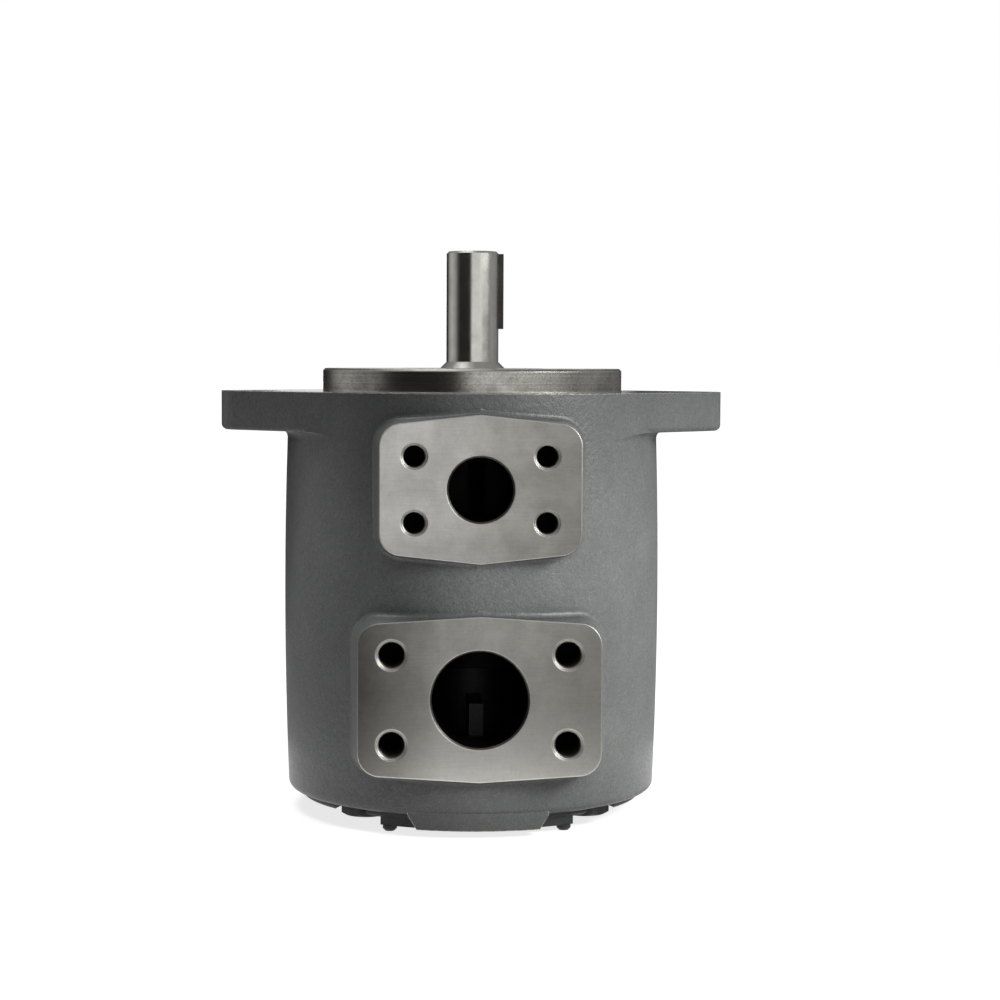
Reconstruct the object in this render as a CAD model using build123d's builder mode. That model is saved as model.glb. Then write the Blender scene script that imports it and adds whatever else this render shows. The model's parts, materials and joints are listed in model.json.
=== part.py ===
from build123d import *
from collections import namedtuple
from math import cos, radians, sin
import os

# Hydraulic vane pump, shaft upwards.
# The origin is the centre of the mounting face. +Z runs along the shaft to its drive end, the ports face -Y
# and the two ears of the flange lie along X. All sizes are in millimetres.

# Fits and running gaps
SEAT_CLEARANCE = 0.02
RUNNING_CLEARANCE = 0.04
FACE_CLEARANCE = 0.05
LOOSE_CLEARANCE = 0.3

# Mounting flange: two-bolt, 127 mm pilot
PILOT_RADIUS = 63.5
PILOT_HEIGHT = 9.7
PILOT_CHAMFER = 1.0
FLANGE_THICKNESS = 16.5
FLANGE_BOLT_SPACING = 181.0
FLANGE_HOLE_RADIUS = 8.75
EAR_RADIUS = 16.0
FLANGE_EDGE_ROUND = 2.5
FLANGE_ROOT_FILLET = 3.0

# Cast body, which swells a little to its waist and narrows again to the rim
BODY_WALL = 24.5
BODY_SWELL = 1.0
BODY_WAIST_DEPTH = 105.0
RIM_TAPER = 0.5
RIM_ROUND = 3.0
CAST_FILLET = 2.0

# Ports
PAD_STAND = 2.5
PAD_CORNER_RADIUS = 9.0
PAD_DRAFT = 7.0
PAD_ROOT_DEPTH = 37.0
OUTLET_BORE_RADIUS = 12.7
OUTLET_LAND = 0.7
OUTLET_BOLTS_ACROSS = 52.37
OUTLET_BOLTS_ALONG = 26.19
OUTLET_THREAD_RADIUS = 5.0
OUTLET_TAP_DEPTH = 22.0
OUTLET_PAD_HALF_WIDTH = 40.0
OUTLET_PAD_EDGE = 25.1
OUTLET_PAD_PEAK = 29.4
INLET_BORE_RADIUS = 19.05
INLET_LAND = 2.65
INLET_BOLTS_ACROSS = 69.85
INLET_BOLTS_ALONG = 35.71
INLET_THREAD_RADIUS = 6.0
INLET_TAP_DEPTH = 26.0
INLET_PAD_HALF_WIDTH = 48.3
INLET_PAD_EDGE = 29.9
INLET_PAD_PEAK = 33.0
PORT_CHAMFER = 0.8
THREAD_MOUTH = 0.3

# Front bearing, a 30 x 62 x 16 deep-groove ball bearing
BEARING_BORE_RADIUS = 15.0
BEARING_WIDTH = 16.0
BEARING_TOP = 3.0
BALL_COUNT = 9
BALL_RADIUS = 4.7625
RACE_FLOOR = 3.2375
RACE_SHOULDER = 1.1625
RACE_CHAMFER = 0.8
CAGE_THICKNESS = 2.4
CAGE_POCKET_GAP = 0.2
CAGE_RIM = 1.2375

# Retaining rings
HOUSING_RING_THICKNESS = 2.0
HOUSING_RING_WIDTH = 4.2
HOUSING_GROOVE_DEPTH = 1.5
SHAFT_RING_THICKNESS = 1.5
SHAFT_RING_WIDTH = 3.4
SHAFT_GROOVE_DEPTH = 0.7
RING_SLOT_CLEARANCE = 0.1
RING_LUG_RADIUS = 2.6
RING_LUG_HOLE_RADIUS = 1.1
RING_LUG_INSET = 3.2
RING_GAP = 9.0

# Shaft seal, 35 x 52 x 8
SEAL_STEP = 2.5
SEAL_SECTION = 8.5
SEAL_WIDTH = 8.0
SEAL_GAP_TO_BEARING = 2.0
SEAL_SEAT_FLOOR = 0.5
SEAL_BACK_WALL = 6.0
SEAL_CASE_WALL = 1.0
SEAL_HEEL_DEPTH = 4.5
SEAL_LIP_RELIEF = 1.2
GARTER_WIRE_RADIUS = 0.7
GARTER_HEIGHT = 2.6

# Shaft
SHAFT_END = 59.2
SHAFT_RADIUS = 11.11
SHAFT_CHAMFER = 0.9
SHAFT_PASSAGE_GAP = 2.0
COLLAR_STEP = 1.1
COLLAR_LAND = 1.8
NECK_RADIUS = 14.0
SPLINE_ROOT_RADIUS = 11.6
SPLINE_DEPTH = 1.4
SPLINE_TEETH = 16
SPLINE_TOOTH_ROOT_WIDTH = 2.9
SPLINE_TOOTH_TIP_WIDTH = 1.9
SPLINE_CLEARANCE = 0.08
REAR_JOURNAL_STEP = 0.6
REAR_JOURNAL_OVERRUN = 5.0
CENTRE_HOLE_RADIUS = 1.6
CENTRE_HOLE_MOUTH = 3.2
CENTRE_HOLE_DEPTH = 9.6
KEY_WIDTH = 4.76
KEY_LENGTH = 31.75
KEY_INSET = 1.0
KEY_STAND = 1.99
KEY_CHAMFER = 0.3

# Cartridge: two plates, cam ring, rotor and vanes
RING_WALL = 12.0
RING_INSET = 4.0
RING_WIDTH = 30.0
PLATE_THICKNESS = 16.0
PLATE_HUB_STEP = 6.0
PLATE_HUB_HEIGHT = 17.0
PLATE_BORE_GAP = 1.0
HUB_WALL = 6.5
GALLERY_SHELF = 4.0
GALLERY_ROUND = 4.0
SPRING_SPACE = 4.5
SPRING_THICKNESS = 1.2
ROTOR_RADIUS = 33.0
ROTOR_CORE = 6.3
ROTOR_GAP = 0.5
CAM_RISE = 4.5
CAM_MAJOR_ANGLE = 45.0
QUARTER_CYCLE = 45.0
TRACK_STEP = 15
TRACK_CLEARANCE = 0.15
VANE_COUNT = 12
VANE_THICKNESS = 2.0
VANE_SLOT_CLEARANCE = 0.03
VANE_TIP_BEVEL = 0.7
VANE_PUSH_IN = 1.5
SLOT_FOOT_RADIUS = 1.7
KIDNEY_MARGIN = 0.3
KIDNEY_SPAN = 44.0
UNDERVANE_WIDTH = 3.0
UNDERVANE_DEPTH = 2.0
SCALLOP_RADIUS = 20.0
SCALLOP_STAND_OFF = 10.0
SCREW_RADIUS = 2.5
SCREW_GAP = 0.25
SCREW_HEAD_RADIUS = 4.25
SCREW_HEAD_HEIGHT = 5.0
SCREW_HEAD_SINK = 0.6
SCREW_SOCKET_RADIUS = 2.3
SCREW_SOCKET_DEPTH = 2.5
SCREW_ENGAGEMENT = 9.0
SCREW_END_GAP = 1.2
DOWEL_RADIUS = 3.0
DOWEL_DEPTH_IN_PLATE = 8.0
DOWEL_CHAMFER = 0.5
BUSH_WALL = 3.0
BUSH_END_GAP = 0.5
BUSH_CHAMFER = 0.5
ORING_GROOVE_WIDTH = 4.6
ORING_GROOVE_DEPTH = 3.0
ORING_ROUND = 1.1
BACKUP_RING_WIDTH = 1.4

# Inlet chamber and rear cover
CHAMBER_UNDERCUT = 3.0
CHAMBER_START = 2.0
CHAMBER_END = 10.3
SPIGOT_GAP = 3.25
SPIGOT_LENGTH = 15.0
SKIRT_DEPTH = 10.4
SKIRT_WALL = 5.1
COVER_THICKNESS = 13.2
COVER_EDGE_CHAMFER = 1.0
COVER_RECESS_GAP = 2.0
COVER_RECESS_END_GAP = 7.0
COVER_HUB_WALL = 7.0
COVER_RIB_THICKNESS = 5.8
COVER_RIB_INSET = 5.0
COVER_RIB_HEIGHT = 16.0
COVER_BAR_HEIGHT = 3.2
COVER_BAR_MARGIN = 0.9
COVER_FOOT_ANGLE = 59.6
COVER_FOOT_INSET = 3.3
COVER_FOOT_RADIUS = 2.9
COVER_FOOT_CHAMFER = 1.0
COVER_FOOT_HEIGHT = 2.4
TONGUE_REACH = 5.6
TONGUE_SET_BACK = 0.4
TONGUE_TOP_HALF_WIDTH = 28.3
TONGUE_REAR_HALF_WIDTH = 24.7

# Cover bolts, M12
COVER_BOLT_COUNT = 4
COVER_BOLT_LAND = 7.3
BOLT_THREAD_RADIUS = 6.0
BOLT_CLEARANCE_RADIUS = 6.6
BOLT_HEAD_ACROSS_FLATS = 18.0
BOLT_HEAD_HEIGHT = 7.5
BOLT_HEAD_FACE_RADIUS = 8.6
BOLT_HEAD_CHAMFER_ANGLE = 60.0
BOLT_SPOTFACE_RADIUS = 12.5
BOLT_ENGAGEMENT = 20.0
BOLT_TAP_RUNOUT = 4.0

# Heights that follow, from the drive end to the rear
bearing_bottom = BEARING_TOP - BEARING_WIDTH
seal_top = bearing_bottom - SEAL_GAP_TO_BEARING
seal_bottom = seal_top - SEAL_WIDTH
lip_top = seal_top - SEAL_CASE_WALL - SEAT_CLEARANCE
seal_seat = seal_bottom - SEAL_SEAT_FLOOR
hub_floor = seal_seat - SEAL_BACK_WALL
hub_top = hub_floor - SPRING_SPACE
plate_top = hub_top - PLATE_HUB_HEIGHT
ring_top = plate_top - PLATE_THICKNESS
ring_bottom = ring_top - RING_WIDTH
inlet_plate_bottom = ring_bottom - PLATE_THICKNESS
outlet_height = plate_top + OUTLET_LAND + OUTLET_BORE_RADIUS
gallery_top = outlet_height + OUTLET_BORE_RADIUS
chamber_top = ring_bottom - CHAMBER_START
inlet_height = chamber_top - INLET_LAND - INLET_BORE_RADIUS
chamber_bottom = inlet_height - CHAMBER_END
spigot_top = inlet_height - INLET_BORE_RADIUS - SPIGOT_GAP
cover_joint = spigot_top - SPIGOT_LENGTH
rim = cover_joint - SKIRT_DEPTH
tongue_rear = rim - TONGUE_REACH
cover_rear = cover_joint - COVER_THICKNESS
bar_rear = cover_rear - COVER_BAR_HEIGHT
foot_rear = bar_rear - COVER_FOOT_HEIGHT
bolt_seat = cover_joint - COVER_BOLT_LAND
bolt_head_rear = bolt_seat - BOLT_HEAD_HEIGHT
shaft_rear = inlet_plate_bottom - REAR_JOURNAL_OVERRUN
collar_bottom = PILOT_HEIGHT - COLLAR_LAND
ball_height = bearing_bottom + BEARING_WIDTH / 2
housing_ring_bottom = BEARING_TOP + RING_SLOT_CLEARANCE
shaft_ring_bottom = BEARING_TOP + RING_SLOT_CLEARANCE / 2
shaft_groove_top = BEARING_TOP + SHAFT_RING_THICKNESS + RING_SLOT_CLEARANCE
key_top = SHAFT_END - KEY_INSET
plate_groove = plate_top - PLATE_THICKNESS / 2
hub_groove = (hub_top + plate_top) / 2
cover_groove = (spigot_top + cover_joint) / 2
screw_head_bottom = inlet_plate_bottom + SCREW_HEAD_SINK

# Radii that follow, from the rotor outwards
cam_minor_radius = ROTOR_RADIUS + ROTOR_GAP
cam_major_radius = cam_minor_radius + CAM_RISE
ring_outer_radius = cam_major_radius + RING_WALL
cartridge_radius = ring_outer_radius + RING_INSET
body_radius = cartridge_radius + BODY_WALL
waist_radius = body_radius + BODY_SWELL
rim_radius = body_radius - RIM_TAPER
pad_distance = waist_radius + PAD_STAND
cover_radius = rim_radius - SKIRT_WALL
skirt_radius = cover_radius + LOOSE_CLEARANCE
cover_face_radius = cover_radius - COVER_EDGE_CHAMFER
cover_bolt_radius = (cartridge_radius + cover_radius) / 2
chamber_radius = cartridge_radius + CHAMBER_UNDERCUT
plate_radius = cartridge_radius - SEAT_CLEARANCE
gallery_radius = cartridge_radius - GALLERY_SHELF
fixing_radius = (cam_major_radius + ring_outer_radius) / 2
kidney_radius = (ROTOR_RADIUS + cam_major_radius) / 2
kidney_width = cam_major_radius - ROTOR_RADIUS - 2 * KIDNEY_MARGIN
vane_tip_radius = cam_minor_radius - LOOSE_CLEARANCE
slot_foot = SPLINE_ROOT_RADIUS + SPLINE_DEPTH + ROTOR_CORE
vane_height = vane_tip_radius - slot_foot - VANE_PUSH_IN
race_wall = RACE_FLOOR + RACE_SHOULDER
pitch_radius = BEARING_BORE_RADIUS + RACE_FLOOR + BALL_RADIUS
bearing_outer_radius = pitch_radius + BALL_RADIUS + RACE_FLOOR
cage_width = 2 * (BALL_RADIUS + CAGE_POCKET_GAP + CAGE_RIM)
housing_groove_radius = bearing_outer_radius + HOUSING_GROOVE_DEPTH
shaft_groove_radius = BEARING_BORE_RADIUS - SHAFT_GROOVE_DEPTH
collar_radius = BEARING_BORE_RADIUS - COLLAR_STEP
journal_radius = BEARING_BORE_RADIUS + SEAL_STEP
passage_radius = journal_radius + SHAFT_PASSAGE_GAP
seal_outer_radius = journal_radius + SEAL_SECTION
seal_heel_radius = seal_outer_radius - SEAL_HEEL_DEPTH
lip_back_radius = seal_outer_radius - SEAL_CASE_WALL - SEAT_CLEARANCE
seal_inner_radius = journal_radius + RUNNING_CLEARANCE
garter_radius = seal_inner_radius + SEAL_LIP_RELIEF + GARTER_WIRE_RADIUS
garter_height = seal_bottom + GARTER_HEIGHT
hub_bore_radius = journal_radius + PLATE_HUB_STEP
hub_radius = hub_bore_radius - SEAT_CLEARANCE
hub_wall_radius = hub_bore_radius + HUB_WALL
plate_bore_radius = NECK_RADIUS + PLATE_BORE_GAP
spline_tip_radius = SPLINE_ROOT_RADIUS + SPLINE_DEPTH
rear_journal_radius = SPLINE_ROOT_RADIUS - REAR_JOURNAL_STEP
bush_outer_radius = rear_journal_radius + BUSH_WALL
recess_radius = rear_journal_radius + COVER_RECESS_GAP
cover_hub_radius = recess_radius + COVER_HUB_WALL
key_outer = SHAFT_RADIUS + KEY_STAND
oring_width = ORING_GROOVE_WIDTH - 2 * RING_SLOT_CLEARANCE
foot_x = (cover_radius - COVER_FOOT_INSET) * cos(radians(COVER_FOOT_ANGLE))
foot_y = (cover_radius - COVER_FOOT_INSET) * sin(radians(COVER_FOOT_ANGLE))
bar_half_width = foot_x + COVER_FOOT_RADIUS + COVER_BAR_MARGIN
ring_lug_xs = (-RING_GAP / 2 - RING_LUG_RADIUS, RING_GAP / 2 + RING_LUG_RADIUS)

# Planes, patterns and the two ports
Port = namedtuple("Port", "height half_width edge peak bore across along thread depth")
outlet = Port(
    outlet_height, OUTLET_PAD_HALF_WIDTH, OUTLET_PAD_EDGE, OUTLET_PAD_PEAK, OUTLET_BORE_RADIUS,
    OUTLET_BOLTS_ACROSS, OUTLET_BOLTS_ALONG, OUTLET_THREAD_RADIUS, OUTLET_TAP_DEPTH,
)
inlet = Port(
    inlet_height, INLET_PAD_HALF_WIDTH, INLET_PAD_EDGE, INLET_PAD_PEAK, INLET_BORE_RADIUS,
    INLET_BOLTS_ACROSS, INLET_BOLTS_ALONG, INLET_THREAD_RADIUS, INLET_TAP_DEPTH,
)
pad_plane = Plane.XZ.offset(pad_distance)
cover_bolt_spots = PolarLocations(cover_bolt_radius, COVER_BOLT_COUNT, start_angle=45)
screw_spots = PolarLocations(fixing_radius, 2, start_angle=CAM_MAJOR_ANGLE)
dowel_spots = PolarLocations(fixing_radius, 2, start_angle=CAM_MAJOR_ANGLE + 90)
ball_spots = PolarLocations(pitch_radius, BALL_COUNT)
boss_fillet = min(CAST_FILLET, 0.8 * PAD_STAND)

os.makedirs("parts", exist_ok=True)


def cam_radius(angle):
    """Radius of the ring's track at an angle: two rises with a dwell at each end of them."""
    share = (1 + cos(2 * radians(angle - CAM_MAJOR_ANGLE))) / 2
    eased = share * share * (3 - 2 * share)
    return cam_minor_radius + CAM_RISE * eased


def track_point(angle):
    """Point on the ring's track at an angle."""
    return (cam_radius(angle) * cos(radians(angle)), cam_radius(angle) * sin(radians(angle)))


def kidneys(middle_angle):
    """Two opposite kidney slots that follow the chambers between the vanes."""
    with BuildSketch() as slots:
        for turn in (0, 180):
            with BuildLine() as middle:
                CenterArc((0, 0), kidney_radius, middle_angle + turn - KIDNEY_SPAN / 2, KIDNEY_SPAN)
            SlotArc(middle.edge(), kidney_width)
    return slots.sketch


def spline_tooth(allowance):
    """Outline of one spline tooth, along X, widened and lengthened by an allowance."""
    root = SPLINE_TOOTH_ROOT_WIDTH / 2 + allowance
    tip = SPLINE_TOOTH_TIP_WIDTH / 2 + allowance
    start = SPLINE_ROOT_RADIUS - SPLINE_DEPTH
    end = spline_tip_radius + allowance
    return [(start, -root), (end, -tip), (end, tip), (start, root)]


def pad_points(port):
    """Outline of a port pad: upright sides, and top and bottom edges that rise to a low peak."""
    upper = [(-port.half_width, port.edge), (0, port.peak), (port.half_width, port.edge)]
    lower = [(x, -z) for x, z in reversed(upper)]
    return [(x, z + port.height) for x, z in upper + lower]


def groove_ring(bore_radius, height, width):
    """Profile of a squeezed seal: a rounded bar that reaches from its groove's floor to the bore."""
    with BuildSketch(Plane.XZ) as section:
        with Locations((bore_radius - ORING_GROOVE_DEPTH / 2, height)):
            RectangleRounded(ORING_GROOVE_DEPTH - 2 * SEAT_CLEARANCE, width, ORING_ROUND)
    return section.sketch


def is_boss_root(edge):
    """True for an edge along which a port boss leaves the round body."""
    reach = edge.bounding_box()
    in_front = reach.max.Y < -body_radius / 2 and reach.min.Y > -pad_distance + boss_fillet / 10
    return in_front and rim + 2 * RIM_ROUND < reach.min.Z and reach.max.Z < -RIM_ROUND


def is_port_mouth(edge):
    """True for the round mouth of a port in its pad."""
    reach = edge.bounding_box()
    flat_on_pad = reach.size.Y < SEAT_CLEARANCE and abs(reach.center().Y + pad_distance) < SEAT_CLEARANCE
    return flat_on_pad and edge.is_closed


# Flange: ears joined to the body by tangents, with rounded edges below and a flare where it meets the body
with BuildSketch() as flange_outline:
    Circle(body_radius)
    with GridLocations(FLANGE_BOLT_SPACING, 0, 2, 1):
        Circle(EAR_RADIUS)
    make_hull()

with BuildPart() as flange:
    extrude(flange_outline.sketch, amount=-FLANGE_THICKNESS)
    fillet(flange.faces().sort_by(Axis.Z)[0].edges(), FLANGE_EDGE_ROUND)

with BuildPart() as flange_root:
    with BuildSketch(Plane.XZ):
        with BuildLine():
            root_arc = RadiusArc(
                (body_radius, -FLANGE_THICKNESS - FLANGE_ROOT_FILLET),
                (body_radius + FLANGE_ROOT_FILLET, -FLANGE_THICKNESS),
                FLANGE_ROOT_FILLET,
            )
            Polyline(
                root_arc @ 1,
                (body_radius + FLANGE_ROOT_FILLET, -FLANGE_THICKNESS / 2),
                (body_radius, -FLANGE_THICKNESS / 2),
                root_arc @ 0,
            )
        make_face()
    revolve()
    extrude(flange_outline.sketch, amount=-2 * FLANGE_THICKNESS, mode=Mode.INTERSECT)

# Tongues: two lobes of the casting that reach past the rim, in front and behind
with BuildPart() as tongues:
    with BuildSketch(Plane.XY.offset(tongue_rear)):
        Circle(rim_radius - TONGUE_SET_BACK)
        Circle(skirt_radius, mode=Mode.SUBTRACT)
    extrude(amount=TONGUE_REACH + 2 * RIM_ROUND)
    with BuildSketch(Plane.XZ):
        with BuildLine():
            Polyline(
                (-TONGUE_TOP_HALF_WIDTH, rim),
                (-TONGUE_REAR_HALF_WIDTH, tongue_rear),
                (TONGUE_REAR_HALF_WIDTH, tongue_rear),
                (TONGUE_TOP_HALF_WIDTH, rim),
                (TONGUE_TOP_HALF_WIDTH, rim + 2 * RIM_ROUND),
                (-TONGUE_TOP_HALF_WIDTH, rim + 2 * RIM_ROUND),
                close=True,
            )
        make_face()
    extrude(amount=waist_radius, both=True, mode=Mode.INTERSECT)

# Housing: one casting with the flange, both port bosses and the bores for bearing, seal, cartridge and cover
with BuildPart() as housing:
    with BuildSketch(Plane.XZ):
        with BuildLine():
            collar = Line((body_radius, 0), (body_radius, -FLANGE_THICKNESS - FLANGE_ROOT_FILLET))
            wall = ThreePointArc(
                collar @ 1,
                (waist_radius, -BODY_WAIST_DEPTH),
                (rim_radius, rim + RIM_ROUND),
            )
            rim_arc = RadiusArc(wall @ 1, (rim_radius - RIM_ROUND, rim), RIM_ROUND)
            Polyline(rim_arc @ 1, (0, rim), (0, 0), collar @ 0)
        make_face()
    revolve()
    for port in (outlet, inlet):
        with BuildSketch(pad_plane) as pad_face:
            with BuildLine():
                Polyline(*pad_points(port), close=True)
            make_face()
            corners = [v for v in pad_face.vertices() if abs(v.X) > PAD_CORNER_RADIUS]
            fillet(corners, PAD_CORNER_RADIUS)
        extrude(amount=-PAD_ROOT_DEPTH, taper=-PAD_DRAFT)
    fillet([edge for edge in housing.edges() if is_boss_root(edge)], boss_fillet)
    add(flange.part)
    add(flange_root.part)
    add(tongues.part)
    with BuildSketch():
        Circle(PILOT_RADIUS)
    extrude(amount=PILOT_HEIGHT)
    chamfer(housing.faces().sort_by(Axis.Z)[-1].edges(), PILOT_CHAMFER)

    with BuildSketch(Plane.XZ):
        with BuildLine():
            Polyline(
                (0, PILOT_HEIGHT),
                (bearing_outer_radius + SEAT_CLEARANCE, PILOT_HEIGHT),
                (bearing_outer_radius + SEAT_CLEARANCE, bearing_bottom),
                (seal_outer_radius + SEAT_CLEARANCE, bearing_bottom),
                (seal_outer_radius + SEAT_CLEARANCE, seal_seat),
                (passage_radius, seal_seat),
                (passage_radius, hub_floor),
                (hub_bore_radius, hub_floor),
                (hub_bore_radius, plate_top),
                (cartridge_radius, plate_top),
                (cartridge_radius, cover_joint),
                (skirt_radius, cover_joint),
                (skirt_radius, foot_rear),
                (0, foot_rear),
                close=True,
            )
        make_face()
    revolve(mode=Mode.SUBTRACT)

    with BuildSketch(Plane.XZ):
        with BuildLine():
            Polyline(
                (hub_wall_radius, plate_top - FACE_CLEARANCE),
                (hub_wall_radius, gallery_top),
                (gallery_radius, gallery_top),
                (gallery_radius, plate_top - FACE_CLEARANCE),
                close=True,
            )
        gallery = make_face()
        fillet(gallery.vertices().group_by(Axis.Y)[-1], GALLERY_ROUND)
    revolve(mode=Mode.SUBTRACT)

    with BuildSketch(Plane.XZ):
        with Locations((chamber_radius / 2, (chamber_top + chamber_bottom) / 2)):
            Rectangle(chamber_radius, chamber_top - chamber_bottom)
        with Locations((bearing_outer_radius, housing_ring_bottom + HOUSING_RING_THICKNESS / 2)):
            Rectangle(2 * HOUSING_GROOVE_DEPTH, HOUSING_RING_THICKNESS + RING_SLOT_CLEARANCE)
    revolve(mode=Mode.SUBTRACT)

    for port in (outlet, inlet):
        with BuildSketch(pad_plane):
            with Locations((0, port.height)):
                Circle(port.bore)
        extrude(amount=ring_outer_radius - pad_distance, mode=Mode.SUBTRACT)
    chamfer([edge for edge in housing.edges() if is_port_mouth(edge)], PORT_CHAMFER)
    for port in (outlet, inlet):
        with Locations(pad_plane):
            with Locations((0, port.height)):
                with GridLocations(port.across, port.along, 2, 2):
                    CounterSinkHole(port.thread, port.thread + THREAD_MOUTH, port.depth, 90)

    with BuildSketch():
        with GridLocations(FLANGE_BOLT_SPACING, 0, 2, 1):
            Circle(FLANGE_HOLE_RADIUS)
    extrude(amount=-FLANGE_THICKNESS - FLANGE_ROOT_FILLET, mode=Mode.SUBTRACT)
    with BuildSketch(Plane.XY.offset(cover_joint)):
        with cover_bolt_spots:
            Circle(BOLT_THREAD_RADIUS + SEAT_CLEARANCE)
    extrude(amount=BOLT_ENGAGEMENT + BOLT_TAP_RUNOUT, mode=Mode.SUBTRACT)
housing.part.label = "housing"
export_step(housing.part, "parts/housing.step")

# Front bearing: two grooved races, a cage and its balls
race_plane = Plane.XY.offset(bearing_bottom)
with BuildSketch(Plane.XZ) as ball_groove:
    with Locations((pitch_radius, ball_height)):
        Circle(BALL_RADIUS + LOOSE_CLEARANCE)

with BuildPart() as bearing_outer_race:
    with BuildSketch(race_plane):
        Circle(bearing_outer_radius)
        Circle(bearing_outer_radius - race_wall, mode=Mode.SUBTRACT)
    extrude(amount=BEARING_WIDTH)
    chamfer(bearing_outer_race.edges().filter_by(GeomType.CIRCLE).group_by(SortBy.RADIUS)[-1], RACE_CHAMFER)
    revolve(ball_groove.sketch, mode=Mode.SUBTRACT)
bearing_outer_race.part.label = "bearing_outer_race"
export_step(bearing_outer_race.part, "parts/bearing_outer_race.step")

with BuildPart() as bearing_inner_race:
    with BuildSketch(race_plane):
        Circle(BEARING_BORE_RADIUS + race_wall)
        Circle(BEARING_BORE_RADIUS + SEAT_CLEARANCE, mode=Mode.SUBTRACT)
    extrude(amount=BEARING_WIDTH)
    chamfer(bearing_inner_race.edges().filter_by(GeomType.CIRCLE).group_by(SortBy.RADIUS)[0], RACE_CHAMFER)
    revolve(ball_groove.sketch, mode=Mode.SUBTRACT)
bearing_inner_race.part.label = "bearing_inner_race"
export_step(bearing_inner_race.part, "parts/bearing_inner_race.step")

with BuildPart(Plane.XY.offset(ball_height)) as bearing_balls:
    with ball_spots:
        Sphere(BALL_RADIUS)
bearing_balls.part.label = "bearing_balls"
export_step(bearing_balls.part, "parts/bearing_balls.step")

with BuildPart(Plane.XY.offset(ball_height)) as bearing_cage:
    Cylinder(pitch_radius + CAGE_THICKNESS / 2, cage_width)
    Cylinder(pitch_radius - CAGE_THICKNESS / 2, cage_width, mode=Mode.SUBTRACT)
    with ball_spots:
        Cylinder(
            BALL_RADIUS + CAGE_POCKET_GAP,
            bearing_outer_radius - BEARING_BORE_RADIUS,
            rotation=(0, 90, 0),
            mode=Mode.SUBTRACT,
        )
bearing_cage.part.label = "bearing_cage"
export_step(bearing_cage.part, "parts/bearing_cage.step")

# Retaining rings: one springs out into the bearing bore, one grips the shaft
with BuildPart() as bearing_retaining_ring:
    with BuildSketch(Plane.XY.offset(housing_ring_bottom)):
        Circle(housing_groove_radius - RING_SLOT_CLEARANCE)
        Circle(housing_groove_radius - HOUSING_RING_WIDTH, mode=Mode.SUBTRACT)
        with Locations((0, bearing_outer_radius)):
            Rectangle(RING_GAP, 2 * HOUSING_RING_WIDTH, mode=Mode.SUBTRACT)
        with Locations(*[(x, bearing_outer_radius - RING_LUG_INSET) for x in ring_lug_xs]):
            Circle(RING_LUG_RADIUS)
            Circle(RING_LUG_HOLE_RADIUS, mode=Mode.SUBTRACT)
    extrude(amount=HOUSING_RING_THICKNESS)
bearing_retaining_ring.part.label = "bearing_retaining_ring"
export_step(bearing_retaining_ring.part, "parts/bearing_retaining_ring.step")

with BuildPart() as shaft_retaining_ring:
    with BuildSketch(Plane.XY.offset(shaft_ring_bottom)):
        Circle(shaft_groove_radius + SHAFT_RING_WIDTH)
        with Locations((0, BEARING_BORE_RADIUS + SHAFT_RING_WIDTH / 2)):
            Rectangle(RING_GAP, 2 * SHAFT_RING_WIDTH, mode=Mode.SUBTRACT)
        with Locations(*[(x, BEARING_BORE_RADIUS + RING_LUG_RADIUS) for x in ring_lug_xs]):
            Circle(RING_LUG_RADIUS)
            Circle(RING_LUG_HOLE_RADIUS, mode=Mode.SUBTRACT)
        Circle(shaft_groove_radius + RING_SLOT_CLEARANCE, mode=Mode.SUBTRACT)
    extrude(amount=SHAFT_RING_THICKNESS)
shaft_retaining_ring.part.label = "shaft_retaining_ring"
export_step(shaft_retaining_ring.part, "parts/shaft_retaining_ring.step")

# Shaft seal: pressed steel case, rubber lip and the garter spring that tightens the lip
with BuildPart() as seal_case:
    with BuildSketch(Plane.XZ):
        with BuildLine():
            Polyline(
                (seal_outer_radius, seal_bottom),
                (seal_outer_radius, seal_top),
                (seal_heel_radius, seal_top),
                (seal_heel_radius, seal_top - SEAL_CASE_WALL),
                (seal_outer_radius - SEAL_CASE_WALL, seal_top - SEAL_CASE_WALL),
                (seal_outer_radius - SEAL_CASE_WALL, seal_bottom),
                close=True,
            )
        make_face()
    revolve()
seal_case.part.label = "seal_case"
export_step(seal_case.part, "parts/seal_case.step")

with BuildPart() as seal_lip:
    with BuildSketch(Plane.XZ):
        with BuildLine():
            Polyline(
                (lip_back_radius, lip_top),
                (seal_heel_radius - SEAL_CASE_WALL, lip_top),
                (seal_inner_radius + SEAL_LIP_RELIEF, seal_top - 2 * SEAL_CASE_WALL),
                (seal_inner_radius, seal_bottom + SEAL_LIP_RELIEF + SEAL_CASE_WALL),
                (seal_inner_radius + SEAL_LIP_RELIEF, seal_bottom + SEAL_CASE_WALL),
                (seal_heel_radius, seal_bottom + SEAL_CASE_WALL),
                (seal_heel_radius, seal_top - 3 * SEAL_CASE_WALL),
                (lip_back_radius, seal_top - 3 * SEAL_CASE_WALL),
                close=True,
            )
        make_face()
        with Locations((garter_radius, garter_height)):
            Circle(GARTER_WIRE_RADIUS + SEAT_CLEARANCE, mode=Mode.SUBTRACT)
    revolve()
seal_lip.part.label = "seal_lip"
export_step(seal_lip.part, "parts/seal_lip.step")

with BuildPart() as seal_garter_spring:
    with BuildSketch(Plane.XZ):
        with Locations((garter_radius, garter_height)):
            Circle(GARTER_WIRE_RADIUS)
    revolve()
seal_garter_spring.part.label = "seal_garter_spring"
export_step(seal_garter_spring.part, "parts/seal_garter_spring.step")

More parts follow.
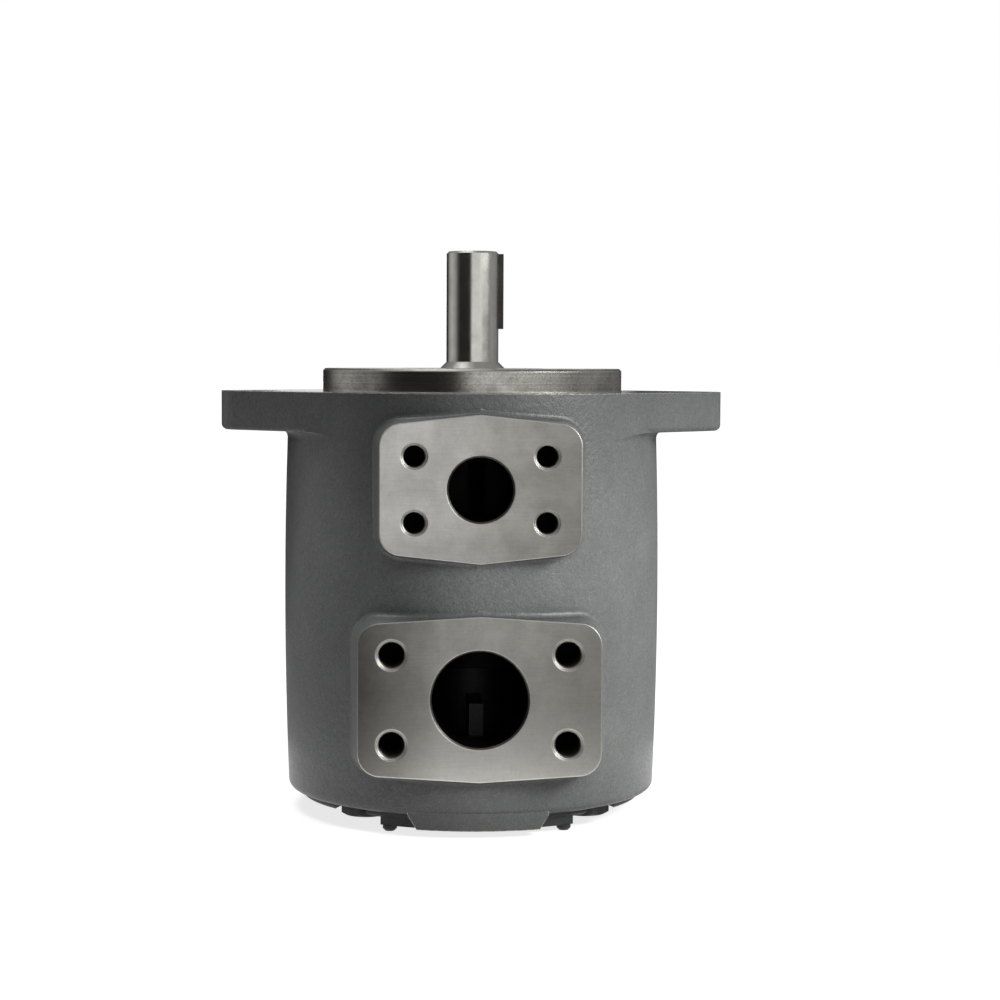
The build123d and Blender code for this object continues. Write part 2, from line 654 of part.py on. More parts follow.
# Shaft: keyed drive end, bearing seat, seal journal, neck, spline for the rotor and rear journal
with BuildPart() as shaft:
    with BuildSketch(Plane.XZ):
        with BuildLine():
            Polyline(
                (0, SHAFT_END),
                (SHAFT_RADIUS - SHAFT_CHAMFER, SHAFT_END),
                (SHAFT_RADIUS, SHAFT_END - SHAFT_CHAMFER),
                (SHAFT_RADIUS, PILOT_HEIGHT + collar_radius - SHAFT_RADIUS),
                (collar_radius, PILOT_HEIGHT),
                (collar_radius, collar_bottom),
                (BEARING_BORE_RADIUS, collar_bottom),
                (BEARING_BORE_RADIUS, shaft_groove_top),
                (shaft_groove_radius, shaft_groove_top),
                (shaft_groove_radius, BEARING_TOP),
                (BEARING_BORE_RADIUS, BEARING_TOP),
                (BEARING_BORE_RADIUS, bearing_bottom),
                (journal_radius, bearing_bottom),
                (journal_radius, hub_floor),
                (NECK_RADIUS, hub_floor),
                (NECK_RADIUS, ring_top + RUNNING_CLEARANCE),
                (SPLINE_ROOT_RADIUS, ring_top + RUNNING_CLEARANCE),
                (SPLINE_ROOT_RADIUS, ring_bottom + SHAFT_CHAMFER),
                (rear_journal_radius, ring_bottom),
                (rear_journal_radius, shaft_rear + SHAFT_CHAMFER),
                (rear_journal_radius - SHAFT_CHAMFER, shaft_rear),
                (0, shaft_rear),
                close=True,
            )
        make_face()
    revolve()
    with BuildSketch(Plane.XY.offset(ring_bottom + SHAFT_CHAMFER)):
        with PolarLocations(0, SPLINE_TEETH):
            with BuildLine():
                Polyline(*spline_tooth(0), close=True)
            make_face()
    extrude(amount=RING_WIDTH - SHAFT_CHAMFER)
    with BuildSketch(Plane.XY.offset(SHAFT_END)):
        with Locations((key_outer, 0)):
            Rectangle(2 * KEY_WIDTH, KEY_WIDTH)
    extrude(amount=-KEY_INSET - KEY_LENGTH, mode=Mode.SUBTRACT)
    with Locations((0, 0, SHAFT_END)):
        CounterSinkHole(CENTRE_HOLE_RADIUS, CENTRE_HOLE_MOUTH, CENTRE_HOLE_DEPTH)
shaft.part.label = "shaft"
export_step(shaft.part, "parts/shaft.step")

with BuildPart() as shaft_key:
    with BuildSketch(Plane.XY.offset(key_top)):
        with Locations((key_outer - KEY_WIDTH / 2 + SEAT_CLEARANCE, 0)):
            Rectangle(KEY_WIDTH - 2 * SEAT_CLEARANCE, KEY_WIDTH - 2 * SEAT_CLEARANCE)
    extrude(amount=-KEY_LENGTH + SEAT_CLEARANCE)
    chamfer(shaft_key.edges().filter_by(Axis.Z), KEY_CHAMFER)
shaft_key.part.label = "shaft_key"
export_step(shaft_key.part, "parts/shaft_key.step")

# Rotor: splined bore and a radial slot with a round foot for each vane
with BuildPart() as rotor:
    with BuildSketch(Plane.XY.offset(ring_bottom + FACE_CLEARANCE)):
        Circle(ROTOR_RADIUS)
        Circle(SPLINE_ROOT_RADIUS + SPLINE_CLEARANCE, mode=Mode.SUBTRACT)
        with PolarLocations(0, SPLINE_TEETH):
            with BuildLine():
                Polyline(*spline_tooth(SPLINE_CLEARANCE), close=True)
            make_face(mode=Mode.SUBTRACT)
        with PolarLocations(ROTOR_RADIUS, VANE_COUNT):
            slot_length = 2 * (ROTOR_RADIUS - slot_foot)
            Rectangle(slot_length, VANE_THICKNESS + 2 * VANE_SLOT_CLEARANCE, mode=Mode.SUBTRACT)
        with PolarLocations(slot_foot, VANE_COUNT):
            Circle(SLOT_FOOT_RADIUS, mode=Mode.SUBTRACT)
    extrude(amount=RING_WIDTH - 2 * FACE_CLEARANCE)
rotor.part.label = "rotor"
export_step(rotor.part, "parts/rotor.step")

# Vanes: flat blades with a bevelled tip, one in each slot, drawn in at rest to the ring's smallest radius
for number in range(VANE_COUNT):
    with BuildPart() as vane:
        with BuildSketch(Plane.XY.offset(ring_bottom + 2 * FACE_CLEARANCE)):
            with Locations((vane_tip_radius - vane_height / 2, 0)):
                blade = Rectangle(vane_height, VANE_THICKNESS)
                chamfer(blade.vertices().group_by(Axis.X)[-1], VANE_TIP_BEVEL)
        extrude(amount=RING_WIDTH - 4 * FACE_CLEARANCE)
    vane_part = vane.part.rotate(Axis.Z, number * 360 / VANE_COUNT)
    vane_part.label = f"vane_{number + 1:02d}"
    export_step(vane_part, f"parts/vane_{number + 1:02d}.step")
    travel = cam_radius(number * 360 / VANE_COUNT) - vane_tip_radius - TRACK_CLEARANCE
    print(vane_part.label, "reaches the track after", round(travel, 2), "mm")

# Cam ring: round outside, and a track with two rises that the vane tips follow
with BuildPart() as cam_ring:
    with BuildSketch(Plane.XY.offset(ring_bottom)):
        Circle(ring_outer_radius)
        with BuildLine():
            Spline(*[track_point(angle) for angle in range(0, 360, TRACK_STEP)], periodic=True)
        make_face(mode=Mode.SUBTRACT)
        with screw_spots:
            Circle(SCREW_RADIUS + SCREW_GAP, mode=Mode.SUBTRACT)
        with dowel_spots:
            Circle(DOWEL_RADIUS + SEAT_CLEARANCE, mode=Mode.SUBTRACT)
    extrude(amount=RING_WIDTH)
cam_ring.part.label = "cam_ring"
export_step(cam_ring.part, "parts/cam_ring.step")

# Outlet plate: closes the ring on the drive side, with two discharge kidneys and a hub sealed in the housing
with BuildPart() as outlet_plate:
    with BuildSketch(Plane.XY.offset(ring_top)):
        Circle(plate_radius)
        Circle(plate_bore_radius, mode=Mode.SUBTRACT)
        add(kidneys(CAM_MAJOR_ANGLE - QUARTER_CYCLE), mode=Mode.SUBTRACT)
        with dowel_spots:
            Circle(DOWEL_RADIUS + SEAT_CLEARANCE, mode=Mode.SUBTRACT)
    extrude(amount=PLATE_THICKNESS)
    with BuildSketch(Plane.XY.offset(plate_top)):
        Circle(hub_radius)
        Circle(plate_bore_radius, mode=Mode.SUBTRACT)
    extrude(amount=PLATE_HUB_HEIGHT)
    with BuildSketch(Plane.XY.offset(ring_top)):
        Circle(slot_foot + UNDERVANE_WIDTH / 2)
        Circle(slot_foot - UNDERVANE_WIDTH / 2, mode=Mode.SUBTRACT)
    extrude(amount=UNDERVANE_DEPTH, mode=Mode.SUBTRACT)
    with BuildSketch(Plane.XY.offset(ring_top)):
        with screw_spots:
            Circle(SCREW_RADIUS + SEAT_CLEARANCE)
    extrude(amount=SCREW_ENGAGEMENT, mode=Mode.SUBTRACT)
    with BuildSketch(Plane.XZ):
        with Locations(
            (cartridge_radius - ORING_GROOVE_DEPTH / 2, plate_groove),
            (hub_bore_radius - ORING_GROOVE_DEPTH / 2, hub_groove),
        ):
            Rectangle(ORING_GROOVE_DEPTH, ORING_GROOVE_WIDTH)
    revolve(mode=Mode.SUBTRACT)
outlet_plate.part.label = "outlet_plate"
export_step(outlet_plate.part, "parts/outlet_plate.step")

# Inlet plate: closes the ring on the cover side, with suction kidneys open to the chamber and the rear bush
with BuildPart() as inlet_plate:
    with BuildSketch(Plane.XY.offset(inlet_plate_bottom)):
        Circle(plate_radius)
        Circle(bush_outer_radius + SEAT_CLEARANCE, mode=Mode.SUBTRACT)
        add(kidneys(CAM_MAJOR_ANGLE + QUARTER_CYCLE), mode=Mode.SUBTRACT)
        with PolarLocations(
            cartridge_radius + SCALLOP_STAND_OFF, 2, start_angle=CAM_MAJOR_ANGLE + QUARTER_CYCLE
        ):
            Circle(SCALLOP_RADIUS, mode=Mode.SUBTRACT)
        with screw_spots:
            Circle(SCREW_RADIUS + SCREW_GAP, mode=Mode.SUBTRACT)
    extrude(amount=PLATE_THICKNESS)
    with BuildSketch(Plane.XY.offset(inlet_plate_bottom)):
        with screw_spots:
            Circle(SCREW_HEAD_RADIUS + LOOSE_CLEARANCE)
    extrude(amount=SCREW_HEAD_SINK + SCREW_HEAD_HEIGHT, mode=Mode.SUBTRACT)
    with BuildSketch(Plane.XY.offset(ring_bottom)):
        Circle(slot_foot + UNDERVANE_WIDTH / 2)
        Circle(slot_foot - UNDERVANE_WIDTH / 2, mode=Mode.SUBTRACT)
    extrude(amount=-UNDERVANE_DEPTH, mode=Mode.SUBTRACT)
    with BuildSketch(Plane.XY.offset(ring_bottom)):
        with dowel_spots:
            Circle(DOWEL_RADIUS + SEAT_CLEARANCE)
    extrude(amount=-DOWEL_DEPTH_IN_PLATE, mode=Mode.SUBTRACT)
inlet_plate.part.label = "inlet_plate"
export_step(inlet_plate.part, "parts/inlet_plate.step")

with BuildPart() as rear_bush:
    with BuildSketch(Plane.XY.offset(inlet_plate_bottom + BUSH_END_GAP)):
        Circle(bush_outer_radius)
        Circle(rear_journal_radius + RUNNING_CLEARANCE, mode=Mode.SUBTRACT)
    extrude(amount=PLATE_THICKNESS - 2 * BUSH_END_GAP)
    chamfer(rear_bush.edges().filter_by(GeomType.CIRCLE).group_by(SortBy.RADIUS)[-1], BUSH_CHAMFER)
rear_bush.part.label = "rear_bush"
export_step(rear_bush.part, "parts/rear_bush.step")

# Cartridge fixings: socket screws draw the plates onto the ring, dowel pins set their angle
with BuildPart() as cartridge_screws:
    with BuildSketch(Plane.XY.offset(screw_head_bottom)):
        with screw_spots:
            Circle(SCREW_HEAD_RADIUS)
    extrude(amount=SCREW_HEAD_HEIGHT)
    with BuildSketch(Plane.XY.offset(screw_head_bottom)):
        with screw_spots:
            Circle(SCREW_RADIUS)
    extrude(amount=ring_top + SCREW_ENGAGEMENT - SCREW_END_GAP - screw_head_bottom)
    with BuildSketch(Plane.XY.offset(screw_head_bottom)):
        with screw_spots:
            RegularPolygon(SCREW_SOCKET_RADIUS, 6)
    extrude(amount=SCREW_SOCKET_DEPTH, mode=Mode.SUBTRACT)
cartridge_screws.part.label = "cartridge_screws"
export_step(cartridge_screws.part, "parts/cartridge_screws.step")

with BuildPart() as dowel_pins:
    with BuildSketch(Plane.XY.offset(ring_bottom - DOWEL_DEPTH_IN_PLATE)):
        with dowel_spots:
            Circle(DOWEL_RADIUS)
    extrude(amount=PLATE_THICKNESS + RING_WIDTH)
    chamfer(dowel_pins.edges().filter_by(GeomType.CIRCLE), DOWEL_CHAMFER)
dowel_pins.part.label = "dowel_pins"
export_step(dowel_pins.part, "parts/dowel_pins.step")

# Seals: each fills its groove as it does when squeezed
with BuildPart() as plate_oring:
    revolve(groove_ring(cartridge_radius, plate_groove, oring_width))
plate_oring.part.label = "plate_oring"
export_step(plate_oring.part, "parts/plate_oring.step")

with BuildPart() as hub_oring:
    hub_oring_width = oring_width - BACKUP_RING_WIDTH - RING_SLOT_CLEARANCE
    revolve(groove_ring(hub_bore_radius, hub_groove - BACKUP_RING_WIDTH / 2, hub_oring_width))
hub_oring.part.label = "hub_oring"
export_step(hub_oring.part, "parts/hub_oring.step")

with BuildPart() as hub_backup_ring:
    with BuildSketch(Plane.XY.offset(hub_groove + oring_width / 2 - BACKUP_RING_WIDTH)):
        Circle(hub_radius)
        Circle(hub_bore_radius - ORING_GROOVE_DEPTH + SEAT_CLEARANCE, mode=Mode.SUBTRACT)
    extrude(amount=BACKUP_RING_WIDTH)
hub_backup_ring.part.label = "hub_backup_ring"
export_step(hub_backup_ring.part, "parts/hub_backup_ring.step")

with BuildPart() as cover_oring:
    revolve(groove_ring(cartridge_radius, cover_groove, oring_width))
cover_oring.part.label = "cover_oring"
export_step(cover_oring.part, "parts/cover_oring.step")

# Hold-down spring: a coned washer between the housing's hub bore and the outlet plate's hub
with BuildPart() as hold_down_spring:
    with BuildSketch(Plane.XZ):
        with BuildLine():
            Polyline(
                (passage_radius + LOOSE_CLEARANCE, hub_floor - FACE_CLEARANCE),
                (passage_radius + LOOSE_CLEARANCE, hub_floor - FACE_CLEARANCE - SPRING_THICKNESS),
                (hub_bore_radius - LOOSE_CLEARANCE, hub_top + FACE_CLEARANCE),
                (hub_bore_radius - LOOSE_CLEARANCE, hub_top + FACE_CLEARANCE + SPRING_THICKNESS),
                close=True,
            )
        make_face()
    revolve()
hold_down_spring.part.label = "hold_down_spring"
export_step(hold_down_spring.part, "parts/hold_down_spring.step")

# Rear cover: spigot and hub inside, flange in the skirt of the housing, cast bar and four feet behind
with BuildPart() as rear_cover:
    with BuildSketch(Plane.XZ):
        with BuildLine():
            Polyline(
                (0, cover_rear),
                (cover_face_radius, cover_rear),
                (cover_radius, cover_rear + COVER_EDGE_CHAMFER),
                (cover_radius, cover_joint),
                (plate_radius, cover_joint),
                (plate_radius, spigot_top),
                (cover_hub_radius, spigot_top),
                (cover_hub_radius, inlet_plate_bottom),
                (recess_radius, inlet_plate_bottom),
                (recess_radius, shaft_rear - COVER_RECESS_END_GAP),
                (0, shaft_rear - COVER_RECESS_END_GAP),
                close=True,
            )
        make_face()
        with Locations((cartridge_radius - ORING_GROOVE_DEPTH / 2, cover_groove)):
            Rectangle(ORING_GROOVE_DEPTH, ORING_GROOVE_WIDTH, mode=Mode.SUBTRACT)
    revolve()
    with BuildSketch(Plane.XY.offset(spigot_top)):
        Rectangle(COVER_RIB_THICKNESS, 2 * (cartridge_radius - COVER_RIB_INSET))
        Circle((recess_radius + cover_hub_radius) / 2, mode=Mode.SUBTRACT)
    extrude(amount=COVER_RIB_HEIGHT)
    with BuildSketch(Plane.XY.offset(cover_rear)):
        Circle(cover_face_radius)
        Rectangle(2 * bar_half_width, 2 * cover_radius, mode=Mode.INTERSECT)
    extrude(amount=-COVER_BAR_HEIGHT)
    with BuildSketch(Plane.XY.offset(bar_rear)):
        with GridLocations(2 * foot_x, 2 * foot_y, 2, 2):
            Circle(COVER_FOOT_RADIUS)
    extrude(amount=-COVER_FOOT_HEIGHT)
    chamfer(rear_cover.faces().group_by(Axis.Z)[0].edges(), COVER_FOOT_CHAMFER)
    with BuildSketch(Plane.XY.offset(foot_rear)):
        with cover_bolt_spots:
            Circle(BOLT_SPOTFACE_RADIUS)
    extrude(amount=bolt_seat - foot_rear, mode=Mode.SUBTRACT)
    with BuildSketch(Plane.XY.offset(bolt_seat)):
        with cover_bolt_spots:
            Circle(BOLT_CLEARANCE_RADIUS)
    extrude(amount=COVER_BOLT_LAND, mode=Mode.SUBTRACT)
rear_cover.part.label = "rear_cover"
export_step(rear_cover.part, "parts/rear_cover.step")

# Cover bolts: hexagon heads with chamfered corners, and shanks that reach the nominal thread radius
with BuildPart() as cover_bolts:
    with BuildSketch(Plane.XY.offset(bolt_head_rear)):
        with cover_bolt_spots:
            RegularPolygon(BOLT_HEAD_ACROSS_FLATS / 2, 6, major_radius=False, rotation=30)
    extrude(amount=BOLT_HEAD_HEIGHT)
    with BuildSketch(Plane.XY.offset(bolt_head_rear)):
        with cover_bolt_spots:
            Circle(BOLT_HEAD_FACE_RADIUS)
    extrude(amount=BOLT_HEAD_HEIGHT, taper=-BOLT_HEAD_CHAMFER_ANGLE, mode=Mode.INTERSECT)
    with BuildSketch(Plane.XY.offset(bolt_seat)):
        with cover_bolt_spots:
            Circle(BOLT_THREAD_RADIUS)
    extrude(amount=COVER_BOLT_LAND + BOLT_ENGAGEMENT)
cover_bolts.part.label = "cover_bolts"
export_step(cover_bolts.part, "parts/cover_bolts.step")
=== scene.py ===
# %% [markdown]
# # Dressing a hydraulic vane pump for the studio
#
# The pump is a grey-painted iron casting with bare machined faces, a ground steel shaft and a black rear cover.
# All solid shapes come finished from the workshop model, so this lesson is about surfaces: what each metal, paint
# or rubber is on the real pump, and how a few texture nodes can show it.
# Only the screw threads in the ports' tapped holes are added as meshes, because they are too fine for the workshop
# model. The floor, cards, lamps and camera of the studio come last.
# Sizes are in millimetres unless the text says metres.

# %% Load the pump and note its size
import json
import math

import bmesh
import bpy
from mathutils import Matrix, Vector


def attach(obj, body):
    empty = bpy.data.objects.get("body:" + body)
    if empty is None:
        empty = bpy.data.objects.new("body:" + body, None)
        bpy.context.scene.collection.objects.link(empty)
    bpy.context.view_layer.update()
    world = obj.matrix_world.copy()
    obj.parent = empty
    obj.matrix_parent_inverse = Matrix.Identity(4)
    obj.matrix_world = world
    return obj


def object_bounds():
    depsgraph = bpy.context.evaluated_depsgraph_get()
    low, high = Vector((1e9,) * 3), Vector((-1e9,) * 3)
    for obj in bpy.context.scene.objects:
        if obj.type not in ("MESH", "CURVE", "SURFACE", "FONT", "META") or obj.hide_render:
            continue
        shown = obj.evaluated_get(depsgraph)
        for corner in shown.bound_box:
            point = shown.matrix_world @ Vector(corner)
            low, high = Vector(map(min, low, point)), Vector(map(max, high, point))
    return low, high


MM = 0.001

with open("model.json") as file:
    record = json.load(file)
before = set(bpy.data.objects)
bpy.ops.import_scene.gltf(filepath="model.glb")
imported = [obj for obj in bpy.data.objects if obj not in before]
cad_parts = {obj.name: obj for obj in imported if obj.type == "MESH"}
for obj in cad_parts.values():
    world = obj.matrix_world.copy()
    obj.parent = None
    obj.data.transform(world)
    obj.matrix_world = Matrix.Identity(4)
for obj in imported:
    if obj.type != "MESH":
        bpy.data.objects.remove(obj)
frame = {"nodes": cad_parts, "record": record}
nodes = frame["nodes"]
mounts = {mount["name"]: mount for mount in frame["record"]["mounts"]}
cad_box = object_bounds()
print("the pump measures", [round((high - low) / MM, 1) for low, high in zip(*cad_box)], "mm")

# %% [markdown]
# ## Three small helpers
#
# Colours are easiest to judge as the hex values of a picture, but a shader works in linear light, so one function
# turns one into the other.
# A texture in Blender repeats once a metre at scale 1, so a grain of so many millimetres needs the scale that the
# second function works out.
# The third adds one node with its settings, and links it wherever a value is the output of another node. Inputs go
# by name where the names differ. Those of a Mix node don't, so they go by number, and the numbers get names here.

# %% Helpers for colours, scales and nodes
TOE_END, TOE_SLOPE = 0.04045, 12.92
CURVE_OFFSET, CURVE_POWER = 0.055, 2.4
SHARE, VALUE_A, VALUE_B, COLOUR_A, COLOUR_B = 0, 2, 3, 6, 7
MIXED_VALUE, MIXED_COLOUR = 0, 2


def paint(hex_code):
    """Linear RGBA of a hex colour such as "#8a8c8c": a straight toe, then a power curve."""
    shares = [int(hex_code[start:start + 2], 16) / 255 for start in (1, 3, 5)]
    linear = [s / TOE_SLOPE if s <= TOE_END else ((s + CURVE_OFFSET) / (1 + CURVE_OFFSET)) ** CURVE_POWER
              for s in shares]
    return (*linear, 1.0)


def grain(millimetres):
    """Texture scale at which a pattern measures that many millimetres."""
    return 1 / (millimetres * MM)


def add(tree, kind, links=None, stops=(), **settings):
    """One more node: links are its inputs, stops the (place, hex colour) pairs of a ramp, settings its options."""
    node = tree.nodes.new("ShaderNode" + kind)
    for name, value in settings.items():
        setattr(node, name, value)
    for socket, value in (links or {}).items():
        if isinstance(value, bpy.types.NodeSocket):
            tree.links.new(value, node.inputs[socket])
        else:
            node.inputs[socket].default_value = value
    if stops:
        elements = node.color_ramp.elements
        while len(elements) < len(stops):
            elements.new(0.5)
        for element, (place, hex_code) in zip(elements, stops):
            element.position = place
            element.color = paint(hex_code)
    return node


print("a middle grey is", round(paint("#808080")[0], 3), "in linear light, a 2 mm grain has scale", grain(2.0))

# %% [markdown]
# ## Where a surface begins and ends
#
# Every material below starts in the same way: a Principled shader, and the object's own coordinates.
# The pump is modelled at its real size with its axis on Z, so those coordinates are metres from the centre of the
# mounting face, and a lathe mark is simply a function of the distance to the Z axis.
# Every material also ends in the same way: a colour, a roughness that follows one of its patterns, and a relief
# laid on in layers. Relief could be cut into the mesh, but grit and tool marks are far finer than its faces, so
# they are left to bump.

# %% Start and end a material
PATTERN_LOW, PATTERN_HIGH = 0.3, 0.7  # nearly all of a noise lies between these


def new_finish(name, **shader_values):
    """A material with its shader values set, and the sockets that its textures grow from."""
    material = bpy.data.materials.new(name)
    material.use_nodes = True
    tree = material.node_tree
    shader = tree.nodes["Principled BSDF"]
    for socket, value in shader_values.items():
        shader.inputs[socket.replace("_", " ")].default_value = value
    here = add(tree, "TexCoord").outputs["Object"]
    return material, tree, shader, here


def lay_on(tree, shader, colour, pattern, roughness, layers, normal=None):
    """Gives a shader its colour, its roughness where a pattern is low and high, and its relief.

    A layer of relief is a height, its depth in millimetres and its strength, and the coarsest comes first.
    """
    tree.links.new(colour, shader.inputs["Base Color"])
    spread = add(tree, "MapRange", {"Value": pattern, "From Min": PATTERN_LOW, "From Max": PATTERN_HIGH,
                                    "To Min": roughness[0], "To Max": roughness[1]})
    tree.links.new(spread.outputs["Result"], shader.inputs["Roughness"])
    for height, depth, strength in layers:
        links = {"Height": height, "Distance": depth * MM, "Strength": strength}
        if normal is not None:
            links["Normal"] = normal
        normal = add(tree, "Bump", links).outputs["Normal"]
    tree.links.new(normal, shader.inputs["Normal"])


print("roughness follows a pattern between", PATTERN_LOW, "and", PATTERN_HIGH)

# %% [markdown]
# ## Edges that are broken and rubbed
#
# No machined edge is knife-sharp: a file or a deburring wheel breaks it, and handling rubs it bright.
# The edge could be rounded in the mesh, but the solids stay as they came. A Bevel node bends only the normal near
# an edge, so it catches light as a rounded one does, and how far it bends the normal tells where the edge is.

# %% Worn edges
BEVEL_SAMPLES = 6
EDGE_BEGINS, EDGE_WHOLE = 0.995, 0.93  # cosines of the bend where wear starts and where it is whole


def worn_edge(tree, width):
    """Normal that turns smoothly over the last millimetres before an edge, and a share that is one at the edge."""
    rounded = add(tree, "Bevel", {"Radius": width * MM}, samples=BEVEL_SAMPLES).outputs["Normal"]
    flat = add(tree, "NewGeometry").outputs["Normal"]
    alike = add(tree, "VectorMath", {0: rounded, 1: flat}, operation="DOT_PRODUCT").outputs["Value"]
    at_edge = add(tree, "MapRange", {"Value": alike, "From Min": EDGE_BEGINS, "From Max": EDGE_WHOLE})
    return rounded, at_edge.outputs["Result"]


print("wear starts where an edge bends the normal by", round(math.degrees(math.acos(EDGE_BEGINS)), 1), "degrees")

# %% [markdown]
# ## Grey enamel on a sand casting
#
# The housing is grey iron poured into a sand mould, and the moulding sand leaves it pebbled: grains of a few tenths
# of a millimetre, in clusters, on top of slow swells where the mould gave way. The grains are drawn 0.8 mm wide,
# because finer ones wouldn't show.
# A satin enamel is brushed over the whole casting. It fills the finest pits, so the relief is soft. It is a
# dielectric with an IOR of about 1.5 and a roughness from 0.3 to 0.5, and a faint clear coat gives it a thin gloss.
# Raised grit is rubbed lighter and the swells drift in tone. Towards the flange at the top the colour is darkened,
# a painted shade, and so are the corners, which an Ambient Occlusion node finds: painted shade too.
# Where the cutter broke through the skin at the port faces, a thin bright line of iron shows at the edge.

# %% Painted casting
SAND_GRAIN = 0.8
SAND_CLUSTER = 2.2
MOULD_SWELL = 18.0
ENAMEL_EDGE = 0.7
CLUSTER_SHARE = 0.2
TONE_SHARE = 0.35
TOP_SHADE_START = -60.0
CORNER_REACH = 40.0
CORNER_SAMPLES = 8
BARE_BEGINS, BARE_WHOLE = 0.30, 0.50
ENAMEL_ROUGHNESS = (0.48, 0.30)
FLECK_TONES = ((0.32, "#595b5a"), (0.48, "#727473"), (0.62, "#828483"), (0.76, "#b6b8b5"))
SWELL_TONES = ((0.30, "#6c6e6d"), (0.70, "#828483"))
# Tones of the painted shade: darker towards the top of the housing, and in its corners.
TOP_SHADE_TONES = ((0.0, "#ffffff"), (1.0, "#c4c4c4"))
CORNER_SHADE_TONES = ((0.30, "#7e7e7d"), (0.90, "#ffffff"))
BARE_IRON = "#b9b8b2"


def painted_casting():
    """Satin grey enamel over sand-cast iron, worn to the metal at the cut edges."""
    material, tree, shader, here = new_finish("grey_enamel_on_cast_iron", IOR=1.5, Coat_Weight=0.12,
                                              Coat_Roughness=0.25)
    grit = add(tree, "TexNoise", {"Vector": here, "Scale": grain(SAND_GRAIN), "Detail": 3.0,
                                  "Roughness": 0.7}).outputs["Fac"]
    cluster, swell = [add(tree, "TexNoise", {"Vector": here, "Scale": grain(size)}).outputs["Fac"]
                      for size in (SAND_CLUSTER, MOULD_SWELL)]
    pebble = add(tree, "Mix", {SHARE: CLUSTER_SHARE, VALUE_A: grit, VALUE_B: cluster}).outputs[MIXED_VALUE]
    fleck = add(tree, "ValToRGB", {"Fac": pebble}, FLECK_TONES).outputs["Color"]
    tone = add(tree, "ValToRGB", {"Fac": swell}, SWELL_TONES).outputs["Color"]
    colour = add(tree, "Mix", {SHARE: TONE_SHARE, COLOUR_A: fleck, COLOUR_B: tone},
                 data_type="RGBA").outputs[MIXED_COLOUR]

    # Painted shade: the enamel's colour darkens towards the flange and in the corners that the Ambient Occlusion
    # node finds.
    height = add(tree, "SeparateXYZ", {0: here}).outputs["Z"]
    top_shade = add(tree, "MapRange", {"Value": height, "From Min": TOP_SHADE_START * MM,
                                      "From Max": 0.0}).outputs["Result"]
    openness = add(tree, "AmbientOcclusion", {"Distance": CORNER_REACH * MM}, samples=CORNER_SAMPLES).outputs["AO"]
    for value, tones in ((top_shade, TOP_SHADE_TONES), (openness, CORNER_SHADE_TONES)):
        painted_shade = add(tree, "ValToRGB", {"Fac": value}, tones).outputs["Color"]
        colour = add(tree, "Mix", {SHARE: 1.0, COLOUR_A: colour, COLOUR_B: painted_shade}, data_type="RGBA",
                     blend_type="MULTIPLY").outputs[MIXED_COLOUR]

    rounded, at_edge = worn_edge(tree, ENAMEL_EDGE)
    broken = add(tree, "Math", {0: at_edge, 1: cluster}, operation="MULTIPLY", use_clamp=True).outputs[0]
    bare = add(tree, "MapRange", {"Value": broken, "From Min": BARE_BEGINS,
                                  "From Max": BARE_WHOLE}).outputs["Result"]
    colour = add(tree, "Mix", {SHARE: bare, COLOUR_A: colour, COLOUR_B: paint(BARE_IRON)},
                 data_type="RGBA").outputs[MIXED_COLOUR]
    tree.links.new(bare, shader.inputs["Metallic"])
    lay_on(tree, shader, colour, grit, ENAMEL_ROUGHNESS,
           ((swell, 0.6, 0.8), (cluster, 0.26, 0.8), (grit, 0.16, 1.0)), rounded)
    return material


enamel = painted_casting()
print("made", enamel.name)

# %% [markdown]
# ## Machined iron
#
# Each cut leaves its own mark on the same grey iron.
# A face mill crosses the port faces and leaves fine, nearly straight lines. A lathe tool leaves rings round the
# shaft's axis on the pilot and the mounting face. Bores are cut the same way, but are darker with oil, and a
# countersink is cut dry and stays grey. The cast passages behind them are nearly black, a painted shade for the
# hollows inside the pump.
# Iron is a metal, so it keeps the default IOR, its colour is the colour of its reflection, and graphite in it makes
# that a warm, rather dark grey. Dried coolant leaves faint blotches.

# %% The marks of the tools
MILLING_PITCH = 0.7
MILLED_STRETCH = (0.05, 1.0, 1.0)
TURNING_PITCH = 0.55


def milled_lines(tree, here):
    """Long fine streaks along X, as a face mill leaves them on the port faces."""
    stretched = add(tree, "Mapping", {"Vector": here, "Scale": MILLED_STRETCH}).outputs["Vector"]
    return add(tree, "TexNoise", {"Vector": stretched, "Scale": grain(MILLING_PITCH), "Detail": 3.0,
                                  "Roughness": 0.6}).outputs["Fac"]


def axis_distance(tree, place):
    """Distance to the Z axis of a place that is split into X, Y and Z."""
    flat = add(tree, "CombineXYZ", {0: place.outputs["X"], 1: place.outputs["Y"]}).outputs[0]
    return add(tree, "VectorMath", {0: flat}, operation="LENGTH").outputs["Value"]


def turned_rings(tree, here):
    """Rings round the Z axis, a little uneven as the tool chattered."""
    place = add(tree, "SeparateXYZ", {0: here})
    along = add(tree, "CombineXYZ", {0: axis_distance(tree, place), 2: place.outputs["Z"]}).outputs[0]
    return add(tree, "TexNoise", {"Vector": along, "Scale": grain(TURNING_PITCH), "Roughness": 0.6}).outputs["Fac"]


print("milled lines are", MILLING_PITCH, "mm apart, turned rings", TURNING_PITCH, "mm")
